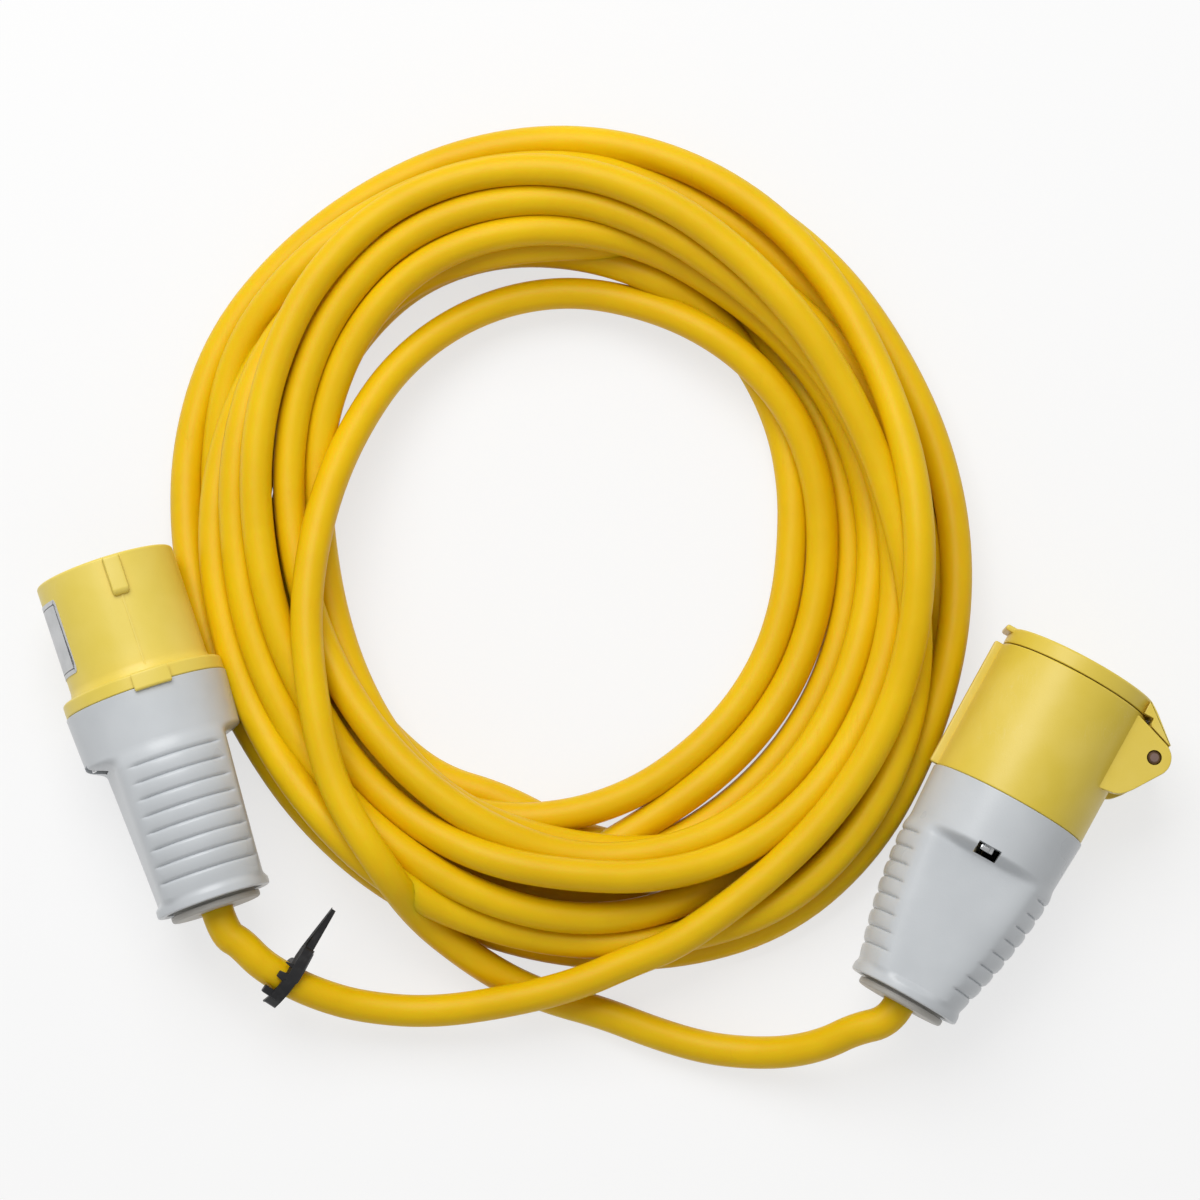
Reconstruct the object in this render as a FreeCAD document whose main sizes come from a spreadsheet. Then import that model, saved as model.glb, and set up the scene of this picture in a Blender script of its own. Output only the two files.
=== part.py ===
import FreeCAD, Part
import math
import os
import re
import Sketcher

# An extension lead for site, caravan and boat supplies: a round cord wound in a coil, with a
# pin-and-sleeve plug on one end and a connector with a hinged lid on the other.
# Millimetres. The lead lies on the plane z = 0. The origin is under the middle of the box round the
# plug and the connector. X runs from the plug to the connector.
# Each end is made about its own axis: Y towards the mouth, y = 0 at the joint between the yellow
# housing and the grey grip. The inside of each end has its key slot up (+Z) and is then rolled.

V = FreeCAD.Vector

SIZES = {
    # the cord and where things lie
    "cord_dia": 10.0,
    "axis_height": 25.6,
    "plug_x": -139.64,
    "plug_y": 27.32,
    "plug_turn": 18.9,
    "plug_roll": 11.6,
    "connector_x": 125.16,
    "connector_y": -6.48,
    "connector_turn": -29.2,
    "connector_roll": -90.0,
    # clearances: round a turned piece, along a seam, round something that moves
    "fit": 0.15,
    "seam": 0.1,
    "running_gap": 0.3,
    # the grey grip, alike on both ends
    "grip_dia": 51.2,
    "barrel_length": 17.2,
    "shoulder_length": 3.3,
    "grip_length": 67.0,
    "panel_width_top": 35.4,
    "panel_width_low": 32.4,
    "panel_edge_top": 17.5,
    "panel_edge_low": 10.0,
    "rib_side_top": 25.4,
    "rib_side_low": 17.2,
    "rib_side_bulge": 1.45,
    "rib_start": 23.0,
    "rib_pitch": 4.9,
    "rib_depth": 1.0,
    "rib_land": 1.1,
    "lip_rise": 3.5,
    "lip_dia": 36.6,
    "lip_thick": 2.2,
    "wall_bore_dia": 32.0,
    "window_wide": 7.5,
    "window_tall": 3.5,
    "window_drop": 17.6,
    # the spigot that each housing pushes into the grip
    "spigot_dia": 46.0,
    "spigot_length": 12.0,
    "insert_dia": 42.0,
    "insert_top": 1.0,
    # the contacts
    "pin_circle": 17.0,
    "line_pin_dia": 5.0,
    "earth_pin_dia": 7.0,
    "pin_tip": 34.0,
    "pin_root_rise": 0.3,
    "barrel_dia": 8.4,
    "barrel_end": 23.0,
    "wire_dia": 2.9,
    "wire_bore_deep": 7.0,
    "sleeve_wall": 1.15,
    "sleeve_depth": 29.5,
    "screw_dia": 2.9,
    "screw_head_dia": 5.0,
    "screw_head_tall": 1.8,
    "screw_drop": 18.0,
    # the plug's shroud
    "shroud_dia": 43.5,
    "shroud_wall": 2.35,
    "shroud_length": 41.8,
    "flange_dia": 50.6,
    "flange_thick": 4.6,
    "step_dia": 44.9,
    "step_tall": 2.0,
    "key_width": 5.3,
    "key_length": 12.8,
    "key_tall": 2.2,
    "lug_width": 11.5,
    "lug_over": 2.3,
    "lug_rise": 1.3,
    "label_length": 23.5,
    "label_low": 11.8,
    "label_thick": 0.35,
    "label_span": 75.0,
    "label_roll": 147.0,
    # the connector's body, tower and lid
    "body_dia": 50.2,
    "body_wall": 2.85,
    "body_length": 43.0,
    "body_floor": 4.0,
    "tower_dia": 37.6,
    "tower_top": 40.5,
    "sleeve_top": 38.5,
    "keyway_clearance": 0.3,
    "strip_width": 3.3,
    "strip_rise": 2.5,
    "lid_gap": 0.3,
    "lid_thick": 5.1,
    "lid_plate": 2.2,
    "lid_skirt": 1.5,
    "tongue_out": 26.9,
    "tongue_width": 13.0,
    "tongue_thick": 1.9,
    "seal_width": 2.6,
    "hinge_out": 31.1,
    "hinge_drop": 10.1,
    "hinge_pin_dia": 4.0,
    "ear_width": 28.4,
    "ear_thick": 3.0,
    "knuckle_width": 5.2,
    "spring_wire": 0.9,
    "spring_dia": 6.6,
    "spring_turns": 5,
    "spring_gap": 0.45,
    "spring_leg": 7.0,
    # the cord's clamp, seal and collar
    "sheath_from_end": 28.4,
    "core_offset": 2.0,
    "core_straight": 4.0,
    "core_bend": 4.5,
    "clamp_from_end": 19.4,
    "clamp_length": 8.0,
    "clamp_width": 22.0,
    "clamp_low": 1.2,
    "clamp_top": 6.4,
    "clamp_screw_dia": 3.4,
    "clamp_screw_apart": 16.6,
    "clamp_screw_deep": 9.0,
    "clamp_head_dia": 5.8,
    "clamp_head_tall": 2.0,
    "seal_dia": 26.0,
    "seal_length": 6.0,
    "collar_dia": 28.2,
    "collar_proud": 2.7,
    "collar_length": 7.4,
    "collar_bore": 11.0,
    # the sprung release clip behind the window
    "clip_thick": 1.0,
    "nose_reach": 1.8,
    # the coil
    "coil_x": -4.84,
    "coil_y": 72.72,
    "coil_low": 5.1,
    "coil_layer": 10.5,
    "coil_pitch": 10.7,
    "coil_out": 121.5,
    "coil_start": 120.0,
    "coil_turns_in": 5.5,
    "coil_turns_out": 4.4,
    # the strap on the plug's lead
    "strap_width": 3.3,
    "strap_thick": 1.4,
    "tail_length": 24.3,
    "tail_end_width": 1.8,
    "head_reach": 10.6,
    "barb_size": 2.6,
}

doc = FreeCAD.newDocument("extension_lead")
sheet = doc.addObject("Spreadsheet::Sheet", "Sizes")
for row, (alias, number) in enumerate(SIZES.items(), 1):
    sheet.set(f"A{row}", alias)
    sheet.set(f"B{row}", str(number))
    sheet.setAlias(f"B{row}", alias)
doc.recompute()

nodes = {}


def tied(expression):
    """The expression with the sheet's name before each of its aliases."""
    def name(word):
        return "Sizes." + word.group() if word.group() in SIZES else word.group()
    return re.sub(r"[A-Za-z_]\w*", name, expression)


def size(expression):
    """The number that an expression of the sheet's aliases has."""
    return float(sheet.evalExpression(tied(expression)))


def bind(thing, **expressions):
    """Ties properties to expressions of the sheet's aliases."""
    for name, expression in expressions.items():
        thing.setExpression(name, tied(expression))


def end_place(end, roll=0.0, shift=V()):
    """Where a piece made about its own Y axis lies on the plug or on the connector."""
    middle = V(size(end + "_x"), size(end + "_y"), size("axis_height"))
    turn = FreeCAD.Rotation(V(0, 0, 1), size(end + "_turn"))
    rolled = FreeCAD.Rotation(V(0, 1, 0), roll)
    return (FreeCAD.Placement(middle, turn) * FreeCAD.Placement(V(), rolled)
            * FreeCAD.Placement(shift, FreeCAD.Rotation()))


def keep(node, thing, place=None):
    """Names a sub-part, puts it in its place and lists it for the files."""
    thing.Label = node
    if place is not None:
        thing.Placement = place
    nodes[node] = thing
    return thing


def new_body(name):
    return doc.addObject("PartDesign::Body", name)


def new_sketch(body, name, plane):
    sketch = body.newObject("Sketcher::SketchObject", name)
    feature = next(each for each in body.Origin.OriginFeatures if each.Role == plane)
    sketch.AttachmentSupport = (feature, [""])
    sketch.MapMode = "FlatFace"
    return sketch


def tie_point(sketch, geometry, end, across, up):
    """Holds one point of the sketch at two expressions."""
    for kind, expression in (("DistanceX", across), ("DistanceY", up)):
        number = size(expression)
        index = sketch.addConstraint(Sketcher.Constraint(kind, -1, 1, geometry, end, number))
        sketch.setExpression(f"Constraints[{index}]", tied(expression))


def outline(sketch, corners):
    """Draws one closed outline whose corners are expressions."""
    first = sketch.GeometryCount
    count = len(corners)
    points = [V(size(across), size(up), 0) for across, up in corners]
    for index in range(count):
        sketch.addGeometry(Part.LineSegment(points[index], points[(index + 1) % count]), False)
    for index in range(count):
        after = first + (index + 1) % count
        sketch.addConstraint(Sketcher.Constraint("Coincident", first + index, 2, after, 1))
    for index, (across, up) in enumerate(corners):
        tie_point(sketch, first + index, 1, across, up)


def circle(sketch, across, up, diameter):
    middle = V(size(across), size(up), 0)
    index = sketch.addGeometry(Part.Circle(middle, V(0, 0, 1), size(diameter) / 2), False)
    tie_point(sketch, index, 3, across, up)
    ring = sketch.addConstraint(Sketcher.Constraint("Diameter", index, size(diameter)))
    sketch.setExpression(f"Constraints[{ring}]", tied(diameter))


def turned(name, corners, angle="360"):
    """A body turned about Y from its half section."""
    body = new_body(name)
    sketch = new_sketch(body, name + "_section", "XY_Plane")
    outline(sketch, corners)
    turn = body.newObject("PartDesign::Revolution", name + "_turned")
    turn.Profile = sketch
    turn.ReferenceAxis = (sketch, ["V_Axis"])
    bind(turn, Angle=angle)
    return body


def bored(body, name, corners):
    """Cuts a hollow turned about Y from its half section."""
    sketch = new_sketch(body, name + "_section", "XY_Plane")
    outline(sketch, corners)
    groove = body.newObject("PartDesign::Groove", name)
    groove.Profile = sketch
    groove.ReferenceAxis = (sketch, ["V_Axis"])
    groove.Angle = 360


def added(body, name, plane, corners, width):
    """Adds a block with the given outline, as wide to both sides of the plane."""
    sketch = new_sketch(body, name + "_outline", plane)
    outline(sketch, corners)
    pad = body.newObject("PartDesign::Pad", name)
    pad.Profile = sketch
    pad.SideType = "Symmetric"
    bind(pad, Length=width)


def cut(body, name, plane, draw, width):
    """Cuts what draw puts in a sketch, as wide to both sides of the plane."""
    sketch = new_sketch(body, name + "_outline", plane)
    draw(sketch)
    pocket = body.newObject("PartDesign::Pocket", name)
    pocket.Profile = sketch
    pocket.SideType = "Symmetric"
    bind(pocket, Length=width)


def contact_spots(side):
    """The three contacts seen from the key: their names, bearings from the key and diameters.
    The earth lies 60 degrees from the key, on the side given."""
    return (("earth", 60 * side, "earth_pin_dia"), ("line_a", -60 * side, "line_pin_dia"),
            ("line_b", 180, "line_pin_dia"))


def spot(bearing, radius="pin_circle / 2"):
    """Across and up of a contact, as expressions."""
    return f"({radius}) * sin({bearing})", f"({radius}) * cos({bearing})"


def contact_place(end, bearing):
    """Where a contact made about its own axis lies, its screw side outwards."""
    out = size("pin_circle") / 2
    across, up = out * math.sin(math.radians(bearing)), out * math.cos(math.radians(bearing))
    own_roll = FreeCAD.Placement(V(), FreeCAD.Rotation(V(0, 1, 0), bearing))
    return end_place(end, size(end + "_roll"), V(across, 0, up)) * own_roll


def barrel_outline(shank_dia):
    """The back of a contact's half section: shank, terminal barrel and its wire bore."""
    seat = "-spigot_length - seam"
    return [(f"({shank_dia}) / 2", seat), ("barrel_dia / 2", seat), ("barrel_dia / 2", "-barrel_end"),
            ("wire_dia / 2 + seam", "-barrel_end"),
            ("wire_dia / 2 + seam", "wire_bore_deep - barrel_end"),
            ("0", "wire_bore_deep - barrel_end")]


def screw_hole(body):
    """A tapped hole through one side of a terminal barrel, along +Z."""
    hole = [("-screw_drop - screw_dia / 2 - seam", "0"), ("-screw_drop + screw_dia / 2 + seam", "0"),
            ("-screw_drop + screw_dia / 2 + seam", "barrel_dia"),
            ("-screw_drop - screw_dia / 2 - seam", "barrel_dia")]
    cut(body, body.Name + "_screw_hole", "YZ_Plane", lambda sketch: outline(sketch, hole),
        "screw_dia + 2 * seam")


NODE_OF_CONTACT = {"earth": "earth_{}", "line_a": "line_{}_a", "line_b": "line_{}_b"}


def plug_pins():
    for name, bearing, diameter in contact_spots(-1):
        root = f"{diameter} / 2 + pin_root_rise"
        pin = [("0", "pin_tip"), (f"{diameter} / 2 - 0.8", "pin_tip"), (f"{diameter} / 2", "pin_tip - 1.2"),
               (f"{diameter} / 2", "insert_top"), (root, "insert_top")]
        body = turned("plug_pin_" + name, pin + barrel_outline(f"2 * ({root})"))
        screw_hole(body)
        keep("plug_" + NODE_OF_CONTACT[name].format("pin"), body, contact_place("plug", bearing))


def connector_sleeves():
    for name, bearing, diameter in contact_spots(1):
        bore = f"{diameter} / 2 + fit / 3"
        outer = f"{diameter} + 2 * sleeve_wall"
        front = [("0", "sleeve_top - sleeve_depth"), (bore, "sleeve_top - sleeve_depth"),
                 (bore, "sleeve_top"), (f"({outer}) / 2", "sleeve_top")]
        body = turned("connector_sleeve_" + name, front + barrel_outline(outer))
        screw_hole(body)
        keep("connector_" + NODE_OF_CONTACT[name].format("sleeve"), body,
             contact_place("connector", bearing))


def screw(name, shank_dia, shank_from, shank_to, head_dia, head_tall):
    """A cheese-head screw along Z, its head on the far side of shank_to."""
    shank = doc.addObject("Part::Cylinder", name + "_shank")
    bind(shank, Radius=f"{shank_dia} / 2", Height=f"({shank_to}) - ({shank_from})")
    bind(shank, **{"Placement.Base.z": shank_from})
    head = doc.addObject("Part::Cylinder", name + "_head")
    bind(head, Radius=f"{head_dia} / 2", Height=head_tall)
    bind(head, **{"Placement.Base.z": shank_to})
    whole = doc.addObject("Part::Fuse", name)
    whole.Base, whole.Tool = shank, head
    return whole


def group(node, solids, place):
    """Like pieces in one node."""
    together = doc.addObject("Part::Compound", node)
    together.Links = solids
    return keep(node, together, place)


def terminal_screws(end, side):
    solids = []
    for name, bearing, _ in contact_spots(side):
        one = screw(f"{end}_screw_{name}", "screw_dia", "wire_dia / 2 + seam", "barrel_dia / 2 + seam",
                    "screw_head_dia", "screw_head_tall")
        out = size("pin_circle") / 2
        spin = FreeCAD.Rotation(V(0, 1, 0), bearing)
        one.Placement = FreeCAD.Placement(spin.multVec(V(0, -size("screw_drop"), out)), spin)
        solids.append(one)
    group(end + "_terminal_screws", solids, end_place(end, size(end + "_roll")))


def insert_outline(top_corners):
    """Half section of a contact carrier: the disc in the spigot, and what stands on it."""
    return top_corners + [("insert_dia / 2", "insert_top - seam"), ("insert_dia / 2", "-spigot_length"),
                          ("0", "-spigot_length")]


def contact_holes(body, side, extra):
    """The holes that the contacts pass through, extra wider than the pins."""
    def draw(sketch):
        for _, bearing, diameter in contact_spots(side):
            circle(sketch, *spot(bearing), f"{diameter} + {extra}")
    cut(body, body.Name + "_holes", "XZ_Plane", draw, "4 * body_length")


def carriers():
    plug = turned("plug_carrier", insert_outline([("0", "insert_top - seam")]))
    contact_holes(plug, -1, "2 * pin_root_rise + 2 * fit")
    keep("plug_pin_carrier", plug, end_place("plug", size("plug_roll")))
    tower = [("0", "tower_top"), ("tower_dia / 2 - 0.6", "tower_top"),
             ("tower_dia / 2", "tower_top - 0.6"), ("tower_dia / 2", "insert_top - seam")]
    connector = turned("connector_carrier", insert_outline(tower))
    contact_holes(connector, 1, "2 * sleeve_wall + 2 * fit")
    keep("connector_contact_carrier", connector, end_place("connector", size("connector_roll")))


def plug_shroud():
    """The yellow shroud round the pins, with its flange, key and catch."""
    inner = "shroud_dia / 2 - shroud_wall"
    insert_bore = "insert_dia / 2 + fit"
    step = "flange_thick + step_tall"
    section = [(inner, "insert_top"), (inner, "shroud_length"), ("shroud_dia / 2", "shroud_length"),
               ("shroud_dia / 2", step), ("step_dia / 2", step), ("step_dia / 2", "flange_thick"),
               ("flange_dia / 2", "flange_thick"), ("flange_dia / 2", "seam"),
               ("spigot_dia / 2", "seam"), ("spigot_dia / 2", "-spigot_length"),
               (insert_bore, "-spigot_length"), (insert_bore, "insert_top")]
    body = turned("shroud", section)
    root = "shroud_dia / 2 - shroud_wall / 2"
    crest = "shroud_dia / 2 + key_tall"
    key = [("shroud_length", root), ("shroud_length", crest), ("shroud_length - key_length + 1", crest),
           ("shroud_length - key_length", f"{crest} - 1"), ("shroud_length - key_length", root)]
    added(body, "key", "YZ_Plane", key, "key_width")
    under = "grip_dia / 2 + 2 * seam"
    lug = [("flange_thick", "flange_dia / 2 - 2"), ("flange_thick", f"{under} + lug_rise"),
           ("-lug_over", f"{under} + lug_rise"), ("-lug_over", under), ("seam", under),
           ("seam", "flange_dia / 2 - 2")]
    added(body, "catch", "YZ_Plane", lug, "lug_width")
    keep("plug_shroud", body, end_place("plug", size("plug_roll")))
    face = "shroud_dia / 2 + seam / 2"
    plate = [(face, "label_low"), (f"{face} + label_thick", "label_low"),
             (f"{face} + label_thick", "label_low + label_length"), (face, "label_low + label_length")]
    keep("plug_label", turned("label", plate, "label_span"), end_place("plug", size("label_roll")))


HINGE_Y = "body_length - hinge_drop"
BODY_BORE = "body_dia / 2 - body_wall"


def connector_body():
    """The yellow housing round the tower, with its keyway, its guide strip and the hinge ears."""
    insert_bore = "insert_dia / 2 + fit"
    tower_bore = "tower_dia / 2 + fit"
    section = [(tower_bore, "insert_top"), (tower_bore, "body_floor"), (BODY_BORE, "body_floor"),
               (BODY_BORE, "body_length"), ("body_dia / 2", "body_length"),
               ("body_dia / 2", "seam"),
               ("spigot_dia / 2", "seam"), ("spigot_dia / 2", "-spigot_length"),
               (insert_bore, "-spigot_length"), (insert_bore, "insert_top")]
    body = turned("housing", section)
    strip = [("seam", "body_dia / 2 - 1"), ("seam", "body_dia / 2 + strip_rise"),
             ("body_length", "body_dia / 2 + strip_rise"), ("body_length", "body_dia / 2 - 1")]
    added(body, "guide_strip", "YZ_Plane", strip, "strip_width")
    root = "body_dia / 2 - 2 * body_wall"
    ear = [("body_length - 0.8", f"-({root})"), ("body_length - 0.8", "-20.6"),
           (f"{HINGE_Y} + 4.7", "-hinge_out - 3.3"), (f"{HINGE_Y} + 1.6", "-hinge_out - 5.3"),
           (f"{HINGE_Y} - 1.9", "-hinge_out - 5.4"), (f"{HINGE_Y} - 12.9", "-hinge_out + 1.7"),
           (f"{HINGE_Y} - 15.4", "-hinge_out + 4.4"), (f"{HINGE_Y} - 16.3", "-hinge_out + 11"),
           (f"{HINGE_Y} - 16.3", f"-({root})")]
    added(body, "ears", "YZ_Plane", ear, "ear_width")
    bored(body, "mouth", [("0", "body_floor"), (BODY_BORE, "body_floor"), (BODY_BORE, "body_length + 1"),
                          ("0", "body_length + 1")])
    between = [("0", "-body_dia / 2 - seam"), ("body_length + 1", "-body_dia / 2 - seam"),
               ("body_length + 1", "-hinge_out - 10"), ("0", "-hinge_out - 10")]
    cut(body, "between_ears", "YZ_Plane", lambda sketch: outline(sketch, between),
        "ear_width - 2 * ear_thick")
    keyway = [("body_floor", "tower_dia / 2"), ("body_length + 1", "tower_dia / 2"),
              ("body_length + 1", "shroud_dia / 2 + key_tall + keyway_clearance"),
              ("body_floor", "shroud_dia / 2 + key_tall + keyway_clearance")]
    cut(body, "keyway", "YZ_Plane", lambda sketch: outline(sketch, keyway),
        "key_width + 2 * keyway_clearance")
    cut(body, "pin_holes", "YZ_Plane",
        lambda sketch: circle(sketch, HINGE_Y, "-hinge_out", "hinge_pin_dia + seam"), "2 * ear_width")
    keep("connector_body", body, end_place("connector", size("connector_roll")))


def connector_lid():
    """The sprung lid with its skirt, finger tongue and the two knuckles on the hinge pin."""
    low = "body_length + lid_gap"
    high = f"{low} + lid_thick"
    under = f"{high} - lid_plate"
    edge = "body_dia / 2 - seam"
    section = [("0", under), ("0", high), (f"{edge} - 0.8", high), (edge, f"{high} - 0.8"), (edge, low),
               (f"{edge} - lid_skirt", low), (f"{edge} - lid_skirt", under)]
    body = turned("lid", section)
    tongue = [(f"{high} - tongue_thick", "body_dia / 2 - 3"), (high, "body_dia / 2 - 3"),
              (high, "tongue_out"), (f"{high} - tongue_thick", "tongue_out")]
    added(body, "tongue", "YZ_Plane", tongue, "tongue_width")
    floor, wall = f"{high} - tongue_thick", f"{edge} - lid_skirt / 2"
    notch = [(f"{low} - 1", wall), (floor, wall), (floor, "body_dia"), (f"{low} - 1", "body_dia")]
    cut(body, "finger_notch", "YZ_Plane", lambda sketch: outline(sketch, notch), "tongue_width + 1")
    clear = "-body_dia / 2 - running_gap"
    arm = [(f"{high} - 0.6", "-body_dia / 2 + 3"), (f"{high} - 1", "-hinge_out + 8.6"),
           (f"{HINGE_Y} + 12.7", "-hinge_out + 5.6"), (f"{HINGE_Y} + 5.4", "-hinge_out - 3"),
           (f"{HINGE_Y} + 2.4", "-hinge_out - 4.4"), (f"{HINGE_Y} - 2", "-hinge_out - 4.2"),
           (f"{HINGE_Y} - 4.3", "-hinge_out - 1.9"), (f"{HINGE_Y} - 4.3", "-hinge_out + 1.9"),
           (f"{HINGE_Y} - 1.9", "-hinge_out + 4.3"), (f"{HINGE_Y} + 2.4", "-hinge_out + 4.6"),
           (f"{low} - 1.6", clear), (low, clear), (low, "-body_dia / 2 + 0.6"),
           (under, "-body_dia / 2 + 0.6"), (under, "-body_dia / 2 + 3")]
    added(body, "arm", "YZ_Plane", arm, "ear_width - 2 * ear_thick - 2 * running_gap")
    spring_room = [(f"{HINGE_Y} + 6", "0"), (f"{HINGE_Y} + 6", "-2 * hinge_out"), ("0", "-2 * hinge_out"),
                   ("0", "0")]
    cut(body, "spring_room", "YZ_Plane", lambda sketch: outline(sketch, spring_room),
        "ear_width - 2 * ear_thick - 2 * running_gap - 2 * knuckle_width")
    cut(body, "pin_bore", "YZ_Plane",
        lambda sketch: circle(sketch, HINGE_Y, "-hinge_out", "hinge_pin_dia + running_gap"),
        "2 * ear_width")
    place = end_place("connector", size("connector_roll"))
    keep("connector_lid", body, place)
    inside = f"{edge} - lid_skirt - fit"
    ring = [(f"{inside} - seal_width", f"{low} - seam / 2"), (inside, f"{low} - seam / 2"),
            (inside, f"{under} - seam"), (f"{inside} - seal_width", f"{under} - seam")]
    keep("connector_lid_seal", turned("lid_seal", ring), place)


def hinge_pin():
    """The steel pin, its ends domed, along the key-up frame's X."""
    radius, end = "hinge_pin_dia / 2", "ear_width / 2"
    section = [("0", f"-{end} - 0.3"), (f"{radius} - 0.7", f"-{end} - 0.3"), (radius, f"-{end} + 0.4"),
               (radius, f"{end} - 0.4"), (f"{radius} - 0.7", f"{end} + 0.3"), ("0", f"{end} + 0.3")]
    pin = turned("hinge_pin", section)
    across = FreeCAD.Placement(V(), FreeCAD.Rotation(V(0, 0, 1), -90))
    middle = V(0, size(HINGE_Y), -size("hinge_out"))
    keep("connector_hinge_pin", pin, end_place("connector", size("connector_roll"), middle) * across)


def biarc(start, heading, finish, leaving):
    """Two arcs from a point and heading to another point and heading."""
    span, both = finish - start, heading + leaving
    bend = 2 * (1 - heading.dot(leaving))
    reach = (math.sqrt(span.dot(both) ** 2 + bend * span.dot(span)) - span.dot(both)) / bend
    middle = (start + finish + (heading - leaving) * reach) * 0.5
    edges = []
    for one, corner, other in ((start, start + heading * reach, middle),
                               (middle, finish - leaving * reach, finish)):
        chord = (one + other) * 0.5
        angle = math.acos(min(1.0, (other - one).Length / 2 / reach))
        top = chord + (corner - chord) * (math.tan(angle / 2) / math.tan(angle))
        edges.append(Part.Arc(one, top, other).toShape())
    return edges


def wound(stations, lead_in, diameter):
    """A round wire along points with headings, straight for lead_in at both ends, and its path."""
    first, last = stations[0], stations[-1]
    start = first[0] - first[1] * lead_in
    edges = [Part.LineSegment(start, first[0]).toShape()]
    for (here, heading), (there, leaving) in zip(stations, stations[1:]):
        edges += biarc(here, heading, there, leaving)
    edges.append(Part.LineSegment(last[0], last[0] + last[1] * lead_in).toShape())
    path = Part.Wire(edges)
    ring = Part.Wire([Part.Circle(start, first[1], diameter / 2).toShape()])
    return path.makePipeShell([ring], True, False), path


def least_gap(path, diameter, apart):
    """The smallest gap between stretches of a wound path that lie apart along it."""
    step = diameter / 4
    points = path.discretize(Distance=step)
    skip = int(apart / step)
    cells = {}
    for index, point in enumerate(points):
        cells.setdefault(tuple(int(each // (2 * diameter)) for each in point), []).append(index)
    best = 2 * diameter
    for (i, j, k), here in cells.items():
        near = [n for a in (-1, 0, 1) for b in (-1, 0, 1) for c in (-1, 0, 1)
                for n in cells.get((i + a, j + b, k + c), [])]
        for index in here:
            for other in near:
                if other - index > skip:
                    best = min(best, (points[index] - points[other]).Length)
    return best - diameter


def lid_spring():
    """The torsion spring round the hinge pin: its turns, and a leg each way."""
    wire, turns = size("spring_wire"), size("spring_turns")
    radius = size("spring_dia") / 2
    pitch = wire + size("spring_gap")
    stations = []
    for step in range(int(turns * 4) + 1):
        angle = math.radians(90 * step)
        rise = pitch * step / 4 - pitch * turns / 2
        spin = V(0, math.cos(angle), math.sin(angle))
        heading = V(pitch / (2 * math.pi * radius), -math.sin(angle), math.cos(angle)).normalize()
        stations.append((spin * radius + V(rise, 0, 0), heading))
    solid, path = wound(stations, size("spring_leg") / 2, wire)
    print("spring: least gap between turns", round(least_gap(path, wire, math.pi * radius), 2), "mm")
    spring = doc.addObject("Part::Feature", "spring")
    spring.Shape = solid
    middle = V(0, size(HINGE_Y), -size("hinge_out"))
    keep("connector_lid_spring", spring, end_place("connector", size("connector_roll"), middle))


def section_wire(down, half, edge, crown, bulge):
    """One section across the grip, down from its top: two panel sides bulging to bulge at their
    middle, and two rib sides with their crown in the middle."""
    corners = [V(half, -down, edge), V(-half, -down, edge), V(-half, -down, -edge), V(half, -down, -edge)]
    middles = [V(0, -down, crown), V(-bulge, -down, 0), V(0, -down, -crown), V(bulge, -down, 0)]
    edges = []
    for index, middle in enumerate(middles):
        one, other = corners[index], corners[(index + 1) % 4]
        flat = abs(middle.distanceToLine(one, other - one)) < 1e-6
        line = Part.LineSegment(one, other) if flat else Part.Arc(one, middle, other)
        edges.append(line.toShape())
    return Part.Wire(edges)


def round_section(down, radius, edge):
    half = math.sqrt(radius ** 2 - edge ** 2)
    return section_wire(down, half, edge, radius, radius)


def grip_skin():
    """The outside of the grip: barrel, shoulder, flat panels, ribbed sides, neck and lip."""
    top = size("barrel_length + shoulder_length")
    neck = size("grip_length - lip_rise")
    edge_top = size("panel_edge_top")

    def tapered(down, drawn_in=0.0):
        share = (down - top) / (neck - top)
        half = size("panel_width_top") / 2 * (1 - share) + size("panel_width_low") / 2 * share
        edge = edge_top * (1 - share) + size("panel_edge_low") * share
        crown = (size("rib_side_top") * (1 - share) + size("rib_side_low") * share
                 + size("4 * rib_side_bulge") * share * (1 - share))
        return section_wire(down, half, edge - 0.6 * drawn_in, crown - drawn_in, half)

    sections = [round_section(0, size("grip_dia / 2"), edge_top),
                round_section(size("barrel_length"), size("grip_dia / 2"), edge_top), tapered(top)]
    pitch, land, depth = size("rib_pitch"), size("rib_land"), size("rib_depth")
    down = size("rib_start")
    while down + land < neck:
        sections += [tapered(down - land), tapered(down, depth), tapered(down + land)]
        down += pitch
    sections.append(tapered(neck))
    lip, lip_edge = size("lip_dia / 2"), size("panel_edge_low + 1")
    sections += [round_section(size("grip_length - lip_thick"), lip, lip_edge),
                 round_section(size("grip_length"), lip, lip_edge)]
    return Part.makeLoft(sections, True, True)


def revolved(corners):
    """A solid turned about Y from expressions."""
    points = [V(size(across), size(up), 0) for across, up in corners]
    face = Part.Face(Part.makePolygon(points + points[:1]))
    return face.revolve(V(), V(0, 1, 0), 360)


def box_between(low, high):
    low, high = V(*map(size, low)), V(*map(size, high))
    return Part.makeBox(high.x - low.x, high.y - low.y, high.z - low.z, low)


COLLAR_TOP = "grip_length + collar_proud - collar_length"
CLAMP_MIDDLE = "(grip_length - clamp_from_end)"
SHEATH_TOP = "(grip_length - sheath_from_end)"
SEAL_TOP = f"{COLLAR_TOP} - seam - seal_length"


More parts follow.
